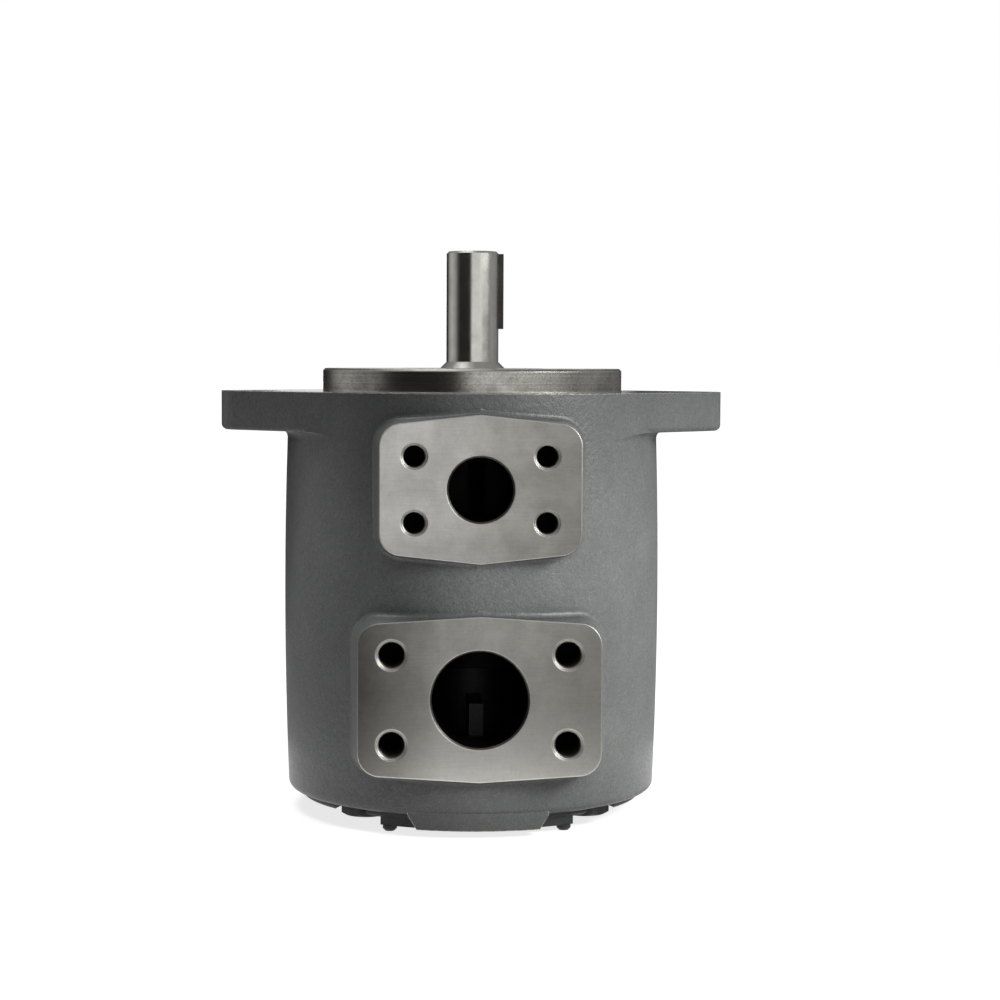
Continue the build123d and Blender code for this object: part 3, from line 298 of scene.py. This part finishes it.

# %% [markdown]
# ## A painted sheen on the port faces
#
# The two bare port faces get a painted sheen, a tone that is lighter or darker by place and stands in for their
# reflections: the upper face is lightest at its left, the lower one in its middle and at its foot.
# That drift of tone is a function of the place on the face. It is smooth, so it needs no texture of its own, only a
# touch of the stain noise to break it up.

# %% How bright the painted sheen on the port faces is
# Tones of the painted sheen that stands in for the reflections on the port faces.
SHEEN_TONES = ((0.0, "#4c4b48"), (0.5, "#adaca9"), (1.0, "#ffffff"))
LOWER_SHEEN_TONES = ((0.0, "#2c2c2c"), (0.35, "#d0d0d0"), (0.60, "#d0d0d0"), (1.0, "#b4b4b4"))
UPPER_SHEEN_LEFT, UPPER_SHEEN_RIGHT = 1.0, 0.42
FACE_HALF_WIDTH = 50.0
FOOT_REACH, FOOT_SHEEN_GAIN = 32.0, 0.20
CHANGEOVER = 5.0
STAIN_SHARE = 0.12
LOWER_FACE = mounts["inlet_pad"]["pos_m"][2]
BETWEEN_FACES = (LOWER_FACE + mounts["outlet_pad"]["pos_m"][2]) / 2


def painted_sheen_tone(tree, here, stain):
    """How bright the painted sheen on a port face is, from nought to one."""
    place = add(tree, "SeparateXYZ", {0: here})
    across = add(tree, "MapRange", {"Value": place.outputs["X"], "From Min": -FACE_HALF_WIDTH * MM,
                                    "From Max": FACE_HALF_WIDTH * MM}).outputs["Result"]
    upper = add(tree, "MapRange", {"Value": across, "From Min": 0.1, "From Max": 0.9, "To Min": UPPER_SHEEN_LEFT,
                                   "To Max": UPPER_SHEEN_RIGHT}).outputs["Result"]
    sideways = add(tree, "ValToRGB", {"Fac": across}, LOWER_SHEEN_TONES).outputs["Color"]
    foot = add(tree, "MapRange", {"Value": place.outputs["Z"], "From Min": LOWER_FACE,
                                  "From Max": LOWER_FACE - FOOT_REACH * MM, "To Max": FOOT_SHEEN_GAIN}).outputs["Result"]
    lower = add(tree, "Math", {0: sideways, 1: foot}, operation="ADD").outputs[0]
    is_upper = add(tree, "MapRange", {"Value": place.outputs["Z"], "From Min": BETWEEN_FACES - CHANGEOVER * MM,
                                      "From Max": BETWEEN_FACES + CHANGEOVER * MM}).outputs["Result"]
    sheen_level = add(tree, "Mix", {SHARE: is_upper, VALUE_A: lower, VALUE_B: upper}).outputs[MIXED_VALUE]
    return add(tree, "Mix", {SHARE: STAIN_SHARE, VALUE_A: sheen_level, VALUE_B: stain}).outputs[MIXED_VALUE]


print("the port faces part at", round(BETWEEN_FACES / MM, 1), "mm")

# %% [markdown]
# ## Five irons from one recipe
#
# The five surfaces differ only in their two greys, their roughness and their tool marks, so one function makes them
# all: blotches of dried coolant, specks of graphite, the tool's lines, and a brighter edge on the outer faces,
# rubbed bright and partly a painted highlight.

# %% Milled, turned, bored, countersunk and cast iron
STAIN_SIZE = 14.0
SPECK_SIZE = 0.8
EDGE_BREAK = 0.8
STAIN_SPREAD = 0.05  # how much a blotch changes the roughness
STAIN_RANGE, SPECK_RANGE = (0.32, 0.62), (0.35, 0.65)
# Edge colour of bare iron: rubbed bright, and partly a painted highlight along the edge.
RUBBED_AND_HIGHLIT_IRON = "#d8d7d2"


def cut_iron(name, light, dark, roughness, lines, line_depth, edge=None, painted_sheen=None):
    """Bare iron. lines gives its tool marks, edge its colour where it is rubbed and partly a painted highlight, and
    the last argument a painted sheen, a drift of tone by place.
    """
    material, tree, shader, here = new_finish(name, Metallic=1.0)
    stain = add(tree, "TexNoise", {"Vector": here, "Scale": grain(STAIN_SIZE), "Detail": 4.0,
                                   "Roughness": 0.65}).outputs["Fac"]
    speck = add(tree, "TexNoise", {"Vector": here, "Scale": grain(SPECK_SIZE), "Roughness": 0.7}).outputs["Fac"]
    marks = lines(tree, here)
    tone = add(tree, "ValToRGB", {"Fac": stain}, tuple(zip(STAIN_RANGE, (dark, light)))).outputs["Color"]
    mottle = add(tree, "Mix", {SHARE: 0.5, VALUE_A: speck, VALUE_B: marks}).outputs[MIXED_VALUE]
    speckled = add(tree, "ValToRGB", {"Fac": mottle}, tuple(zip(SPECK_RANGE, (dark, light)))).outputs["Color"]
    colour = add(tree, "Mix", {SHARE: 0.5, COLOUR_A: tone, COLOUR_B: speckled},
                 data_type="RGBA").outputs[MIXED_COLOUR]
    # Painted sheen: the tone of the port faces drifts by place, standing in for their reflections.
    if painted_sheen is not None:
        sheen_veil = add(tree, "ValToRGB", {"Fac": painted_sheen(tree, here, stain)}, SHEEN_TONES).outputs["Color"]
        colour = add(tree, "Mix", {SHARE: 1.0, COLOUR_A: colour, COLOUR_B: sheen_veil}, data_type="RGBA",
                     blend_type="MULTIPLY").outputs[MIXED_COLOUR]
    rounded, at_edge = worn_edge(tree, EDGE_BREAK)
    # Brighter iron along the edges: rubbed, and partly a painted highlight.
    if edge is not None:
        colour = add(tree, "Mix", {SHARE: at_edge, COLOUR_A: colour, COLOUR_B: paint(edge)},
                     data_type="RGBA").outputs[MIXED_COLOUR]
    lay_on(tree, shader, colour, stain, (roughness + STAIN_SPREAD, roughness - STAIN_SPREAD),
           ((marks, line_depth, 0.6), (speck, 0.02, 0.5)), rounded)
    return material


milled_iron = cut_iron("milled_iron", "#eae9e4", "#cfcec9", 0.34, milled_lines, 0.012, RUBBED_AND_HIGHLIT_IRON, painted_sheen_tone)
turned_iron = cut_iron("turned_iron", "#cccbc4", "#605d56", 0.22, turned_rings, 0.03, RUBBED_AND_HIGHLIT_IRON)
bored_iron = cut_iron("oily_bored_iron", "#6d6b66", "#494742", 0.36, turned_rings, 0.02)
countersunk_iron = cut_iron("countersunk_iron", "#c2c1bb", "#a9a8a2", 0.44, turned_rings, 0.01)
# Nearly black iron for the hollows inside the pump: a painted shade.
passage_iron = cut_iron("near_black_passage_iron_painted_shade", "#1a1918", "#0e0d0d", 0.55, turned_rings, 0.02)
irons = (milled_iron, turned_iron, bored_iron, countersunk_iron, passage_iron)
print("made", ", ".join(iron.name for iron in irons))

# %% [markdown]
# ## One casting, six surfaces
#
# Paint and machined faces meet along crisp lines on the real housing, and those lines are edges of the solid.
# So each face of the mesh gets the material of the tool that made it, chosen by where the face lies.
# Giving a face another material changes no vertex, so the solid itself stays as it came.

# %% Tell a port's mouth from its passage
PORT_NAMES = ("inlet", "outlet")
ENAMEL, MILLED, TURNED, BORED, PASSAGE, COUNTERSUNK = range(6)
PORT_FACE_Y = mounts["inlet_pad"]["pos_m"][1]
MOUTH = 0.8
BORE_EDGE = 1.5


def near_axis(centre, axis, radius):
    """True if a face's centre lies within radius (mm) of a hole's axis, which runs along Y through (x, z)."""
    return math.hypot(centre.x - axis[0], centre.z - axis[1]) < radius * MM


def port_finish(centre):
    """Finish of the wall or the mouth of a port or of a tapped hole in a port face, and else nothing."""
    at_mouth = centre.y < PORT_FACE_Y + MOUTH * MM
    for name in PORT_NAMES:
        port, bolts = mounts[name + "_port"], mounts[name + "_bolts"]["dims"]
        middle = (port["pos_m"][0], port["pos_m"][2])
        if near_axis(centre, middle, port["dims"]["r_mm"] + BORE_EDGE):
            # Deeper than the mouth, a wall gets the nearly black passage iron, a painted shade.
            return BORED if at_mouth else PASSAGE
        for side in (-1, 1):
            for level in (-1, 1):
                spot = (middle[0] + side * bolts["spacing_x_mm"] / 2 * MM,
                        middle[1] + level * bolts["spacing_y_mm"] / 2 * MM)
                if near_axis(centre, spot, bolts["hole_r_mm"] + BORE_EDGE):
                    return COUNTERSUNK if at_mouth else PASSAGE
    return None


print("port faces lie at", round(PORT_FACE_Y / MM, 1), "mm")

# %% Share the housing's faces among its finishes
FLAT = 0.05
INSIDE_RADIUS = 60.0
PORTS_BEGIN_Y = -30.0
SKIRT_RADIUS = 73.6
SKIRT_TOP = -157.8
RECESS_RADIUS = mounts["pilot"]["dims"]["r_mm"] / 2
FLANGE_HOLE = mounts["flange_bolts"]["dims"]
HOUSING_FINISHES = (enamel, milled_iron, turned_iron, bored_iron, passage_iron, countersunk_iron)


def housing_surface(centre):
    """Number of the finish that a face of the housing has, by its centre."""
    radius = math.hypot(centre.x, centre.y)
    if centre.z > -FLAT * MM:
        return TURNED if radius > RECESS_RADIUS * MM or centre.z > FLAT * MM else BORED
    if abs(centre.y - PORT_FACE_Y) < FLAT * MM:
        return MILLED
    in_port = port_finish(centre) if centre.y < PORTS_BEGIN_Y * MM else None
    if in_port is not None:
        return in_port
    from_hole = math.hypot(abs(centre.x) - FLANGE_HOLE["spacing_x_mm"] / 2 * MM, centre.y)
    if from_hole < (FLANGE_HOLE["hole_r_mm"] + FLAT) * MM:
        return BORED
    if radius < INSIDE_RADIUS * MM:
        return PASSAGE
    return BORED if centre.z < SKIRT_TOP * MM and radius < SKIRT_RADIUS * MM else ENAMEL


def wear(node_name, *materials):
    """Gives a part of the pump its materials, in place of the plain ones that it came with."""
    slots = nodes[node_name].data.materials
    slots.clear()
    for material in materials:
        slots.append(material)


wear("housing", *HOUSING_FINISHES)
counts = [0] * len(HOUSING_FINISHES)
for face in nodes["housing"].data.polygons:
    face.material_index = housing_surface(face.center)
    counts[face.material_index] += 1
print("enamel, milled, turned, bored, passage and countersunk faces:", counts)

# %% [markdown]
# ## Ground steel, key steel and bearing steel
#
# The shaft is turned and then ground between centres, which leaves rings too fine to see one by one. They spread
# a reflection along the shaft and keep it sharp across, so the shaft shows upright bands of the studio.
# The key is drawn bar, hardly polished, and looks nearly black beside the shaft.
# Bearing races and balls are lapped almost to a mirror. Bronze takes the same marks, so it is made the same way.

# %% Steels and bronze
SMEAR_SIZE = 9.0
SMEAR_SPREAD = 0.04
GRINDING_PITCH = 0.25
GROUND_STRETCH = (0.02, 0.02, 1.0)


def steel(name, light, dark, roughness, ring_depth):
    """Ground or drawn metal, with rings of ring_depth millimetres round the Z axis."""
    material, tree, shader, here = new_finish(name, Metallic=1.0)
    smear = add(tree, "TexNoise", {"Vector": here, "Scale": grain(SMEAR_SIZE), "Detail": 3.0,
                                   "Roughness": 0.6}).outputs["Fac"]
    colour = add(tree, "ValToRGB", {"Fac": smear}, ((0.35, dark), (0.65, light))).outputs["Color"]
    stretched = add(tree, "Mapping", {"Vector": here, "Scale": GROUND_STRETCH}).outputs["Vector"]
    rings = add(tree, "TexNoise", {"Vector": stretched, "Scale": grain(GRINDING_PITCH), "Roughness": 0.6})
    lay_on(tree, shader, colour, smear, (roughness + SMEAR_SPREAD, roughness - SMEAR_SPREAD),
           ((rings.outputs["Fac"], ring_depth, 0.5),))
    return material


ground_steel = steel("ground_shaft_steel", "#d3d1cb", "#c2c0ba", 0.17, 0.012)
key_steel = steel("drawn_key_steel", "#434240", "#333230", 0.40, 0.01)
bearing_steel = steel("lapped_bearing_steel", "#d6d6d6", "#cccccc", 0.09, 0.002)
hardened_steel = steel("hardened_tool_steel", "#a9a9a8", "#8f8f8d", 0.22, 0.004)
pressed_steel = steel("pressed_sheet_steel", "#b3ad9f", "#9a9486", 0.3, 0.004)
spring_steel = steel("blackened_spring_steel", "#3a3836", "#2b2927", 0.36, 0.006)
bolt_steel = steel("phosphated_bolt_steel", "#3a3b3b", "#2b2b2b", 0.44, 0.01)
bronze = steel("tin_bronze", "#b08d57", "#94733f", 0.3, 0.008)
print("made seven steels, from", ground_steel.name, "to", bolt_steel.name + ", and", bronze.name)

# %% [markdown]
# ## Black cast iron, rubber and plastic
#
# The rear cover is cast like the housing and coloured near-black all over: dark paint, and partly a painted shade
# for the dark gap under the pump.
# The O-rings and the lip of the shaft seal are nitrile rubber: soft black, with hardly a highlight.
# The backup ring is white PTFE, a little waxy.

# %% Black casting and soft materials
MOTTLE_SIZE = 1.2
MOTTLE_SPREAD = 0.05


def black_casting():
    """Near-black over sand-cast iron: dark paint, and partly a painted shade for the gap under the pump."""
    material, tree, shader, here = new_finish("black_cast_iron_and_painted_shade", IOR=1.5)
    grit = add(tree, "TexNoise", {"Vector": here, "Scale": grain(SAND_GRAIN), "Detail": 3.0,
                                  "Roughness": 0.65}).outputs["Fac"]
    swell = add(tree, "TexNoise", {"Vector": here, "Scale": grain(MOULD_SWELL)}).outputs["Fac"]
    # Near-black tones: the cover's dark paint, and partly a painted shade for the gap under the pump.
    colour = add(tree, "ValToRGB", {"Fac": grit}, ((0.35, "#0f0f10"), (0.70, "#1d1e1f"))).outputs["Color"]
    lay_on(tree, shader, colour, grit, (0.6, 0.48), ((swell, 0.3, 0.5), (grit, 0.09, 0.8)))
    return material


def moulded(name, light, dark, roughness, ior):
    """A moulded rubber or plastic, matt with a faint mottle."""
    material, tree, shader, here = new_finish(name, IOR=ior)
    mottle = add(tree, "TexNoise", {"Vector": here, "Scale": grain(MOTTLE_SIZE), "Detail": 3.0}).outputs["Fac"]
    colour = add(tree, "ValToRGB", {"Fac": mottle}, ((0.3, dark), (0.7, light))).outputs["Color"]
    lay_on(tree, shader, colour, mottle, (roughness - MOTTLE_SPREAD, roughness + MOTTLE_SPREAD),
           ((mottle, 0.02, 0.5),))
    return material


black_iron = black_casting()
nitrile_rubber = moulded("nitrile_rubber", "#1d1d1e", "#141415", 0.62, 1.52)
ptfe = moulded("white_ptfe", "#dcdad3", "#cfccc4", 0.5, 1.38)
print("made", black_iron.name, nitrile_rubber.name, ptfe.name)

# %% [markdown]
# ## The rest of the parts list
#
# Every other part is made of one material all over, so a plain list of part and finish is enough. The cartridge's
# two plates, inside the pump, get the nearly black iron of the passages, a painted shade, and its cam ring, rotor
# and vanes are hardened steel.

# %% Give every other part its finish
SIMPLE_FINISHES = {
    "rear_cover": black_iron, "cover_bolts": bolt_steel, "cover_oring": nitrile_rubber,
    "shaft": ground_steel, "shaft_key": key_steel,
    "bearing_outer_race": bearing_steel, "bearing_inner_race": bearing_steel, "bearing_balls": bearing_steel,
    "bearing_cage": pressed_steel, "bearing_retaining_ring": spring_steel, "shaft_retaining_ring": spring_steel,
    "seal_case": pressed_steel, "seal_lip": nitrile_rubber, "seal_garter_spring": spring_steel,
    "outlet_plate": passage_iron, "inlet_plate": passage_iron, "cam_ring": hardened_steel, "rotor": hardened_steel,
    "rear_bush": bronze, "cartridge_screws": bolt_steel, "dowel_pins": hardened_steel,
    "plate_oring": nitrile_rubber, "hub_oring": nitrile_rubber, "hub_backup_ring": ptfe,
    "hold_down_spring": spring_steel,
}
for name, material in SIMPLE_FINISHES.items():
    wear(name, material)
vanes = sorted(name for name in nodes if name.startswith("vane_"))
for name in vanes:
    wear(name, hardened_steel)
print(len(SIMPLE_FINISHES) + len(vanes) + 1, "parts have a finish")

# %% [markdown]
# ## Threads in the tapped holes
#
# The eight holes of the port faces take the bolts of the split flanges: M10 at the upper port and M12 at the lower.
# A metric thread is a ridge of 60 degrees that climbs one pitch a turn, right-handed. The workshop model has plain
# holes at the thread's largest diameter, so the ridge is added inside them as a swept mesh: one section is carried
# round the helix, and its crest grows out of the wall over three quarters of a turn at either end, as a tap leaves
# it. A countersink leads into it, a cone that shines where it faces the lamp.

# %% Sweep one ridge and one cone
THREADS = {"outlet": (1.5, 4.188, 21.0), "inlet": (1.75, 5.053, 25.0)}  # pitch, smallest radius and depth
STEPS_PER_TURN = 32
RUN_OUT_TURNS = 0.75
ROOT_SINK = 0.05
MOUTH_DEPTH = 0.3
ROOT_WIDTH, CREST_WIDTH = 0.4375, 0.125  # halves of the ridge's foot and crest, in pitches
CONE_BACK = 1.6


def ring_of_faces(first, second, corners):
    """Quads between two sections of a swept mesh that start at vertices first and second."""
    return [(first + i, first + (i + 1) % corners, second + (i + 1) % corners, second + i) for i in range(corners)]


def on_circle(spot, radius, angle, along):
    """Point at an angle round a hole's axis and so many millimetres behind the port face."""
    return (spot[0] + radius * math.sin(angle), PORT_FACE_Y / MM + along, spot[1] + radius * math.cos(angle))


def thread_ridge(spot, major, minor, pitch, depth):
    """Vertices and faces of one closed helical ridge, in millimetres."""
    start = MOUTH_DEPTH + (major - minor) + ROOT_WIDTH * pitch
    turns = (depth - start) / pitch
    steps = round(turns * STEPS_PER_TURN)
    points, faces = [], []
    for step in range(steps + 1):
        turn = turns * step / steps
        grown = min(1.0, turn / RUN_OUT_TURNS, (turns - turn) / RUN_OUT_TURNS)
        crest = major + ROOT_SINK / 2 - (major + ROOT_SINK / 2 - minor) * grown
        section = ((major + ROOT_SINK, -ROOT_WIDTH), (crest, -CREST_WIDTH),
                   (crest, CREST_WIDTH), (major + ROOT_SINK, ROOT_WIDTH))
        points += [on_circle(spot, radius, 2 * math.pi * turn, start + pitch * (turn + offset))
                   for radius, offset in section]
    for step in range(steps):
        faces += ring_of_faces(4 * step, 4 * step + 4, 4)
    faces += [(3, 2, 1, 0), (4 * steps, 4 * steps + 1, 4 * steps + 2, 4 * steps + 3)]
    return points, faces


def countersink(spot, major, minor):
    """Vertices and faces of the cone that leads into a thread, a closed ring of three-cornered section."""
    section = ((major + ROOT_SINK, MOUTH_DEPTH - ROOT_SINK), (minor, MOUTH_DEPTH + major - minor),
               (major + ROOT_SINK, MOUTH_DEPTH + CONE_BACK * (major - minor)))
    steps = 2 * STEPS_PER_TURN
    points, faces = [], []
    for step in range(steps):
        points += [on_circle(spot, radius, 2 * math.pi * step / steps, along) for radius, along in section]
        faces += ring_of_faces(3 * step, 3 * ((step + 1) % steps), 3)
    return points, faces


print("a thread is swept in", STEPS_PER_TURN, "steps a turn")


# %% Thread the eight holes
def new_object(name, points, faces, *materials):
    """An object with a mesh of its own and its materials, put into the scene."""
    mesh = bpy.data.meshes.new(name)
    mesh.from_pydata(points, [], faces)
    for material in materials:
        mesh.materials.append(material)
    obj = bpy.data.objects.new(name, mesh)
    bpy.context.scene.collection.objects.link(obj)
    return obj


def port_threads(name):
    """The four threads of one port, as one object that rides on the casing."""
    pitch, minor, depth = THREADS[name]
    bolts, port = mounts[name + "_bolts"]["dims"], mounts[name + "_port"]["pos_m"]
    spots = [(port[0] / MM + side * bolts["spacing_x_mm"] / 2, port[2] / MM + level * bolts["spacing_y_mm"] / 2)
             for side in (-1, 1) for level in (-1, 1)]
    shapes = [countersink(spot, bolts["hole_r_mm"], minor) for spot in spots]
    cone_faces = sum(len(shape_faces) for _, shape_faces in shapes)
    shapes += [thread_ridge(spot, bolts["hole_r_mm"], minor, pitch, depth) for spot in spots]
    points, faces = [], []
    for shape_points, shape_faces in shapes:
        first = len(points)
        points += [Vector(point) * MM for point in shape_points]
        faces += [tuple(first + corner for corner in face) for face in shape_faces]
    obj = new_object(name + "_threads", points, faces, bored_iron, countersunk_iron)
    outward = bmesh.new()
    outward.from_mesh(obj.data)
    bmesh.ops.recalc_face_normals(outward, faces=outward.faces)
    outward.to_mesh(obj.data)
    outward.free()
    for face in obj.data.polygons[:cone_faces]:
        face.material_index = 1
    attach(obj, "casing")
    print(obj.name, "has", len(obj.data.polygons), "faces")


for port_name in PORT_NAMES:
    port_threads(port_name)

# %% [markdown]
# ## The white ground
#
# The photograph has a bare white ground. White comes from the floor and the sky that the camera sees, not from more
# light on the pump, so both glow only for camera, glossy and transmission rays. Metal then mirrors the same white.
# The floor is also a grey diffuse sheet. Its glow stops short of white by what the lamps add, so a shadow still
# shows.

# %% What the floor and the sky show
GLOW_RAYS = ("Is Camera Ray", "Is Glossy Ray", "Is Transmission Ray")
FLOOR_SIZE = 40.0
FLOOR_PAPER = "#b4b4b3"
FLOOR_GLOW = 0.78
AMBIENT = 0.07
WHITE = (1, 1, 1, 1)


def emptied_tree(holder):
    """Node tree of a material or a world, with nothing in it."""
    holder.use_nodes = True
    holder.node_tree.nodes.clear()
    return holder.node_tree


def seen_share(tree):
    """One for the rays that show a surface, none for the rays that light one."""
    rays = add(tree, "LightPath")
    share = rays.outputs[GLOW_RAYS[0]]
    for name in GLOW_RAYS[1:]:
        share = add(tree, "Math", {0: share, 1: rays.outputs[name]}, operation="MAXIMUM").outputs[0]
    return share


def white_floor():
    """A matt sheet that glows nearly white for the camera and keeps the pump's shadow."""
    material = bpy.data.materials.new("white_paper_floor")
    tree = emptied_tree(material)
    paper = add(tree, "BsdfDiffuse", {"Color": paint(FLOOR_PAPER)}).outputs[0]
    level = add(tree, "Math", {0: seen_share(tree), 1: FLOOR_GLOW}, operation="MULTIPLY").outputs[0]
    glow = add(tree, "Emission", {"Color": WHITE, "Strength": level}).outputs[0]
    both = add(tree, "AddShader", {0: paper, 1: glow}).outputs[0]
    add(tree, "OutputMaterial", {"Surface": both})
    return material


def studio_sky():
    """White for every ray that shows it, and a low even light for the rest."""
    world = bpy.data.worlds.new("studio")
    bpy.context.scene.world = world
    tree = emptied_tree(world)
    level = add(tree, "MapRange", {"Value": seen_share(tree), "To Min": AMBIENT}).outputs["Result"]
    sky = add(tree, "Background", {"Color": WHITE, "Strength": level}).outputs[0]
    add(tree, "OutputWorld", {"Surface": sky})


low, high = cad_box
half = FLOOR_SIZE / 2
corners = [(-half, -half, low.z), (half, -half, low.z), (half, half, low.z), (-half, half, low.z)]
floor = new_object("floor", corners, [(0, 1, 2, 3)], white_floor())
studio_sky()
print("floor at", round(low.z / MM, 1), "mm")

# %% [markdown]
# ## Cards round the pump
#
# Polished metal shows its surroundings more than itself. A photographer therefore stands cards round a shaft: grey
# and white ones draw light bands along it, and a black one the dark band that makes it look round.
# Here the cards are one curved tent, painted by its turn about the pump, that only glossy rays meet. Its hem lies
# on the floor, it is open at the back, where the white ground shows, and its hem and top are plain grey.
# The studio is measured in metres.

# %% Paint the cards
CARD_REACH = 165
TONES_START, TONES_WHOLE = 0.58, 0.72
HEM_AND_TOP = "#989898"
# (turn from the camera towards +X in degrees, grey of the card)
CARD_TONES = ((-165, "#202020"), (-140, "#383838"), (-126, "#a0a0a0"), (-106, "#c8c8c8"), (-84, "#a8a8a8"),
              (-70, "#585858"), (-59, "#262626"), (-12, "#262626"), (-3, "#f4f4f4"), (34, "#eeeeee"),
              (46, "#9c9c9c"), (74, "#7e7e7e"), (92, "#a2a2a2"), (130, "#8a8a8a"), (165, "#303030"))


def card_paint():
    """The greys of the cards, by their turn about the Z axis. Only the upright part of the tent has them."""
    material = bpy.data.materials.new("reflector_cards")
    tree = emptied_tree(material)
    place = add(tree, "SeparateXYZ", {0: add(tree, "TexCoord").outputs["Object"]})
    toward = add(tree, "Math", {0: place.outputs["Y"], 1: -1.0}, operation="MULTIPLY").outputs[0]
    turn = add(tree, "Math", {0: place.outputs["X"], 1: toward}, operation="ARCTAN2").outputs[0]
    reach = math.radians(CARD_REACH)
    share = add(tree, "MapRange", {"Value": turn, "From Min": -reach, "From Max": reach}).outputs["Result"]
    stops = [((turn + CARD_REACH) / (2 * CARD_REACH), tone) for turn, tone in CARD_TONES]
    greys = add(tree, "ValToRGB", {"Fac": share}, stops).outputs["Color"]
    upright = add(tree, "MapRange", {"Value": axis_distance(tree, place), "From Min": TONES_START,
                                     "From Max": TONES_WHOLE}).outputs["Result"]
    grey = add(tree, "Mix", {SHARE: upright, COLOUR_A: paint(HEM_AND_TOP), COLOUR_B: greys},
               data_type="RGBA").outputs[MIXED_COLOUR]
    glow = add(tree, "Emission", {"Color": grey, "Strength": 1.0}).outputs[0]
    add(tree, "OutputMaterial", {"Surface": glow})
    return material


card_material = card_paint()
print("cards have", len(CARD_TONES), "tones")

# %% Pitch the tent
CARD_RADIUS = 0.75
CARD_HEIGHT = 0.95
CARD_STEPS = 66
CARD_LEVELS = 10
HEM_RADIUS, HEM_LIFT = 0.18, 0.001
POLE_SHARE = 0.001

profile = [(HEM_RADIUS, HEM_LIFT)]
for level in range(CARD_LEVELS + 1):
    lean = math.pi / 2 * level / CARD_LEVELS
    profile.append((CARD_RADIUS * max(math.cos(lean), POLE_SHARE), HEM_LIFT + CARD_HEIGHT * math.sin(lean)))

card_corners, card_faces = [], []
for reach, lift in profile:
    half_turn = math.radians(CARD_REACH + (180 - CARD_REACH) * lift / CARD_HEIGHT)
    for step in range(CARD_STEPS + 1):
        turn = half_turn * (2 * step / CARD_STEPS - 1)
        card_corners.append((reach * math.sin(turn), -reach * math.cos(turn), low.z + lift))
for level in range(len(profile) - 1):
    for step in range(CARD_STEPS):
        first = level * (CARD_STEPS + 1) + step
        card_faces.append((first, first + 1, first + CARD_STEPS + 2, first + CARD_STEPS + 1))

cards = new_object("reflector_cards", card_corners, card_faces, card_material)
cards.visible_camera = False
cards.visible_diffuse = False
cards.visible_shadow = False
cards.visible_transmission = False
print("cards stand", CARD_RADIUS, "m from the shaft")

# %% [markdown]
# ## Lamps
#
# A soft box stands near the pump at its front right, so the light fades towards the left as on the photograph.
# A high, wide sun does the work of an even top light: it draws the edges and fillets that face upwards, and lays a
# soft shadow under the pump.

# %% Hang the lamps
KEY_PLACE = Vector((0.56, -0.38, 0.25))
KEY_WIDTH, KEY_DROP = 0.42, 0.24
KEY_POWER = 5.4
TOP_TURN = math.radians(-128)
TOP_RISE = math.radians(74)
TOP_SPREAD = math.radians(30)
TOP_POWER = 1.9


def hang(lamp, place, toward):
    """A lamp at a place, shining from the direction toward."""
    obj = bpy.data.objects.new(lamp.name, lamp)
    obj.location = place
    obj.rotation_euler = toward.to_track_quat("Z", "Y").to_euler()
    bpy.context.scene.collection.objects.link(obj)


middle = Vector((0, 0, (low.z + high.z) / 2))
key_lamp = bpy.data.lights.new("key_soft_box", "AREA")
key_lamp.shape = "RECTANGLE"
key_lamp.size, key_lamp.size_y = KEY_WIDTH, KEY_DROP
key_lamp.energy = KEY_POWER
hang(key_lamp, KEY_PLACE, KEY_PLACE - middle)

top_lamp = bpy.data.lights.new("top_light", "SUN")
top_lamp.angle = TOP_SPREAD
top_lamp.energy = TOP_POWER
hang(top_lamp, Vector((0, 0, 1)), Vector((math.sin(TOP_TURN) * math.cos(TOP_RISE),
                                          -math.cos(TOP_TURN) * math.cos(TOP_RISE), math.sin(TOP_RISE))))
print("key soft box", round((KEY_PLACE - middle).length, 2), "m from the pump")

# %% [markdown]
# ## The camera
#
# The camera stands where the photographer's did. Its place was found from the pump's own known sizes: the pilot,
# the flange, the ports and the shaft all have standard sizes, so their pixels give the lens, distance and tilt.
# The pump stands left of the picture's middle, which a small lens shift repeats without turning the camera.

# %% Camera
CAMERA_PLACE = Vector((-42.97, -978.01, 13.49)) * MM
CAMERA_PAN = math.radians(-2.516)
CAMERA_TILT = math.radians(3.511)
CAMERA_ROLL = math.radians(0.237)
FOCAL_PIXELS = 2291.4
PICTURE_PIXELS = 1000
CENTRE_PIXEL = 471.7
SENSOR = 36.0

ahead = Vector((-math.sin(CAMERA_PAN) * math.cos(CAMERA_TILT), math.cos(CAMERA_PAN) * math.cos(CAMERA_TILT),
                -math.sin(CAMERA_TILT)))
sideways = Vector((math.cos(CAMERA_PAN), math.sin(CAMERA_PAN), 0))
upward = sideways.cross(ahead)
right = sideways * math.cos(CAMERA_ROLL) + upward * math.sin(CAMERA_ROLL)
up = upward * math.cos(CAMERA_ROLL) - sideways * math.sin(CAMERA_ROLL)

camera_data = bpy.data.cameras.new("photo_camera")
camera_data.sensor_width = SENSOR
camera_data.lens = FOCAL_PIXELS / PICTURE_PIXELS * SENSOR
camera_data.shift_x = (PICTURE_PIXELS / 2 - CENTRE_PIXEL) / PICTURE_PIXELS
camera = bpy.data.objects.new("photo_camera", camera_data)
turned = Matrix((right, up, -ahead)).transposed()
camera.matrix_world = Matrix.Translation(CAMERA_PLACE) @ turned.to_4x4()
bpy.context.scene.collection.objects.link(camera)
bpy.context.scene.camera = camera
bpy.context.scene.view_settings.view_transform = "Standard"
print("lens", round(camera_data.lens, 1), "mm, shift", round(camera_data.shift_x, 4))
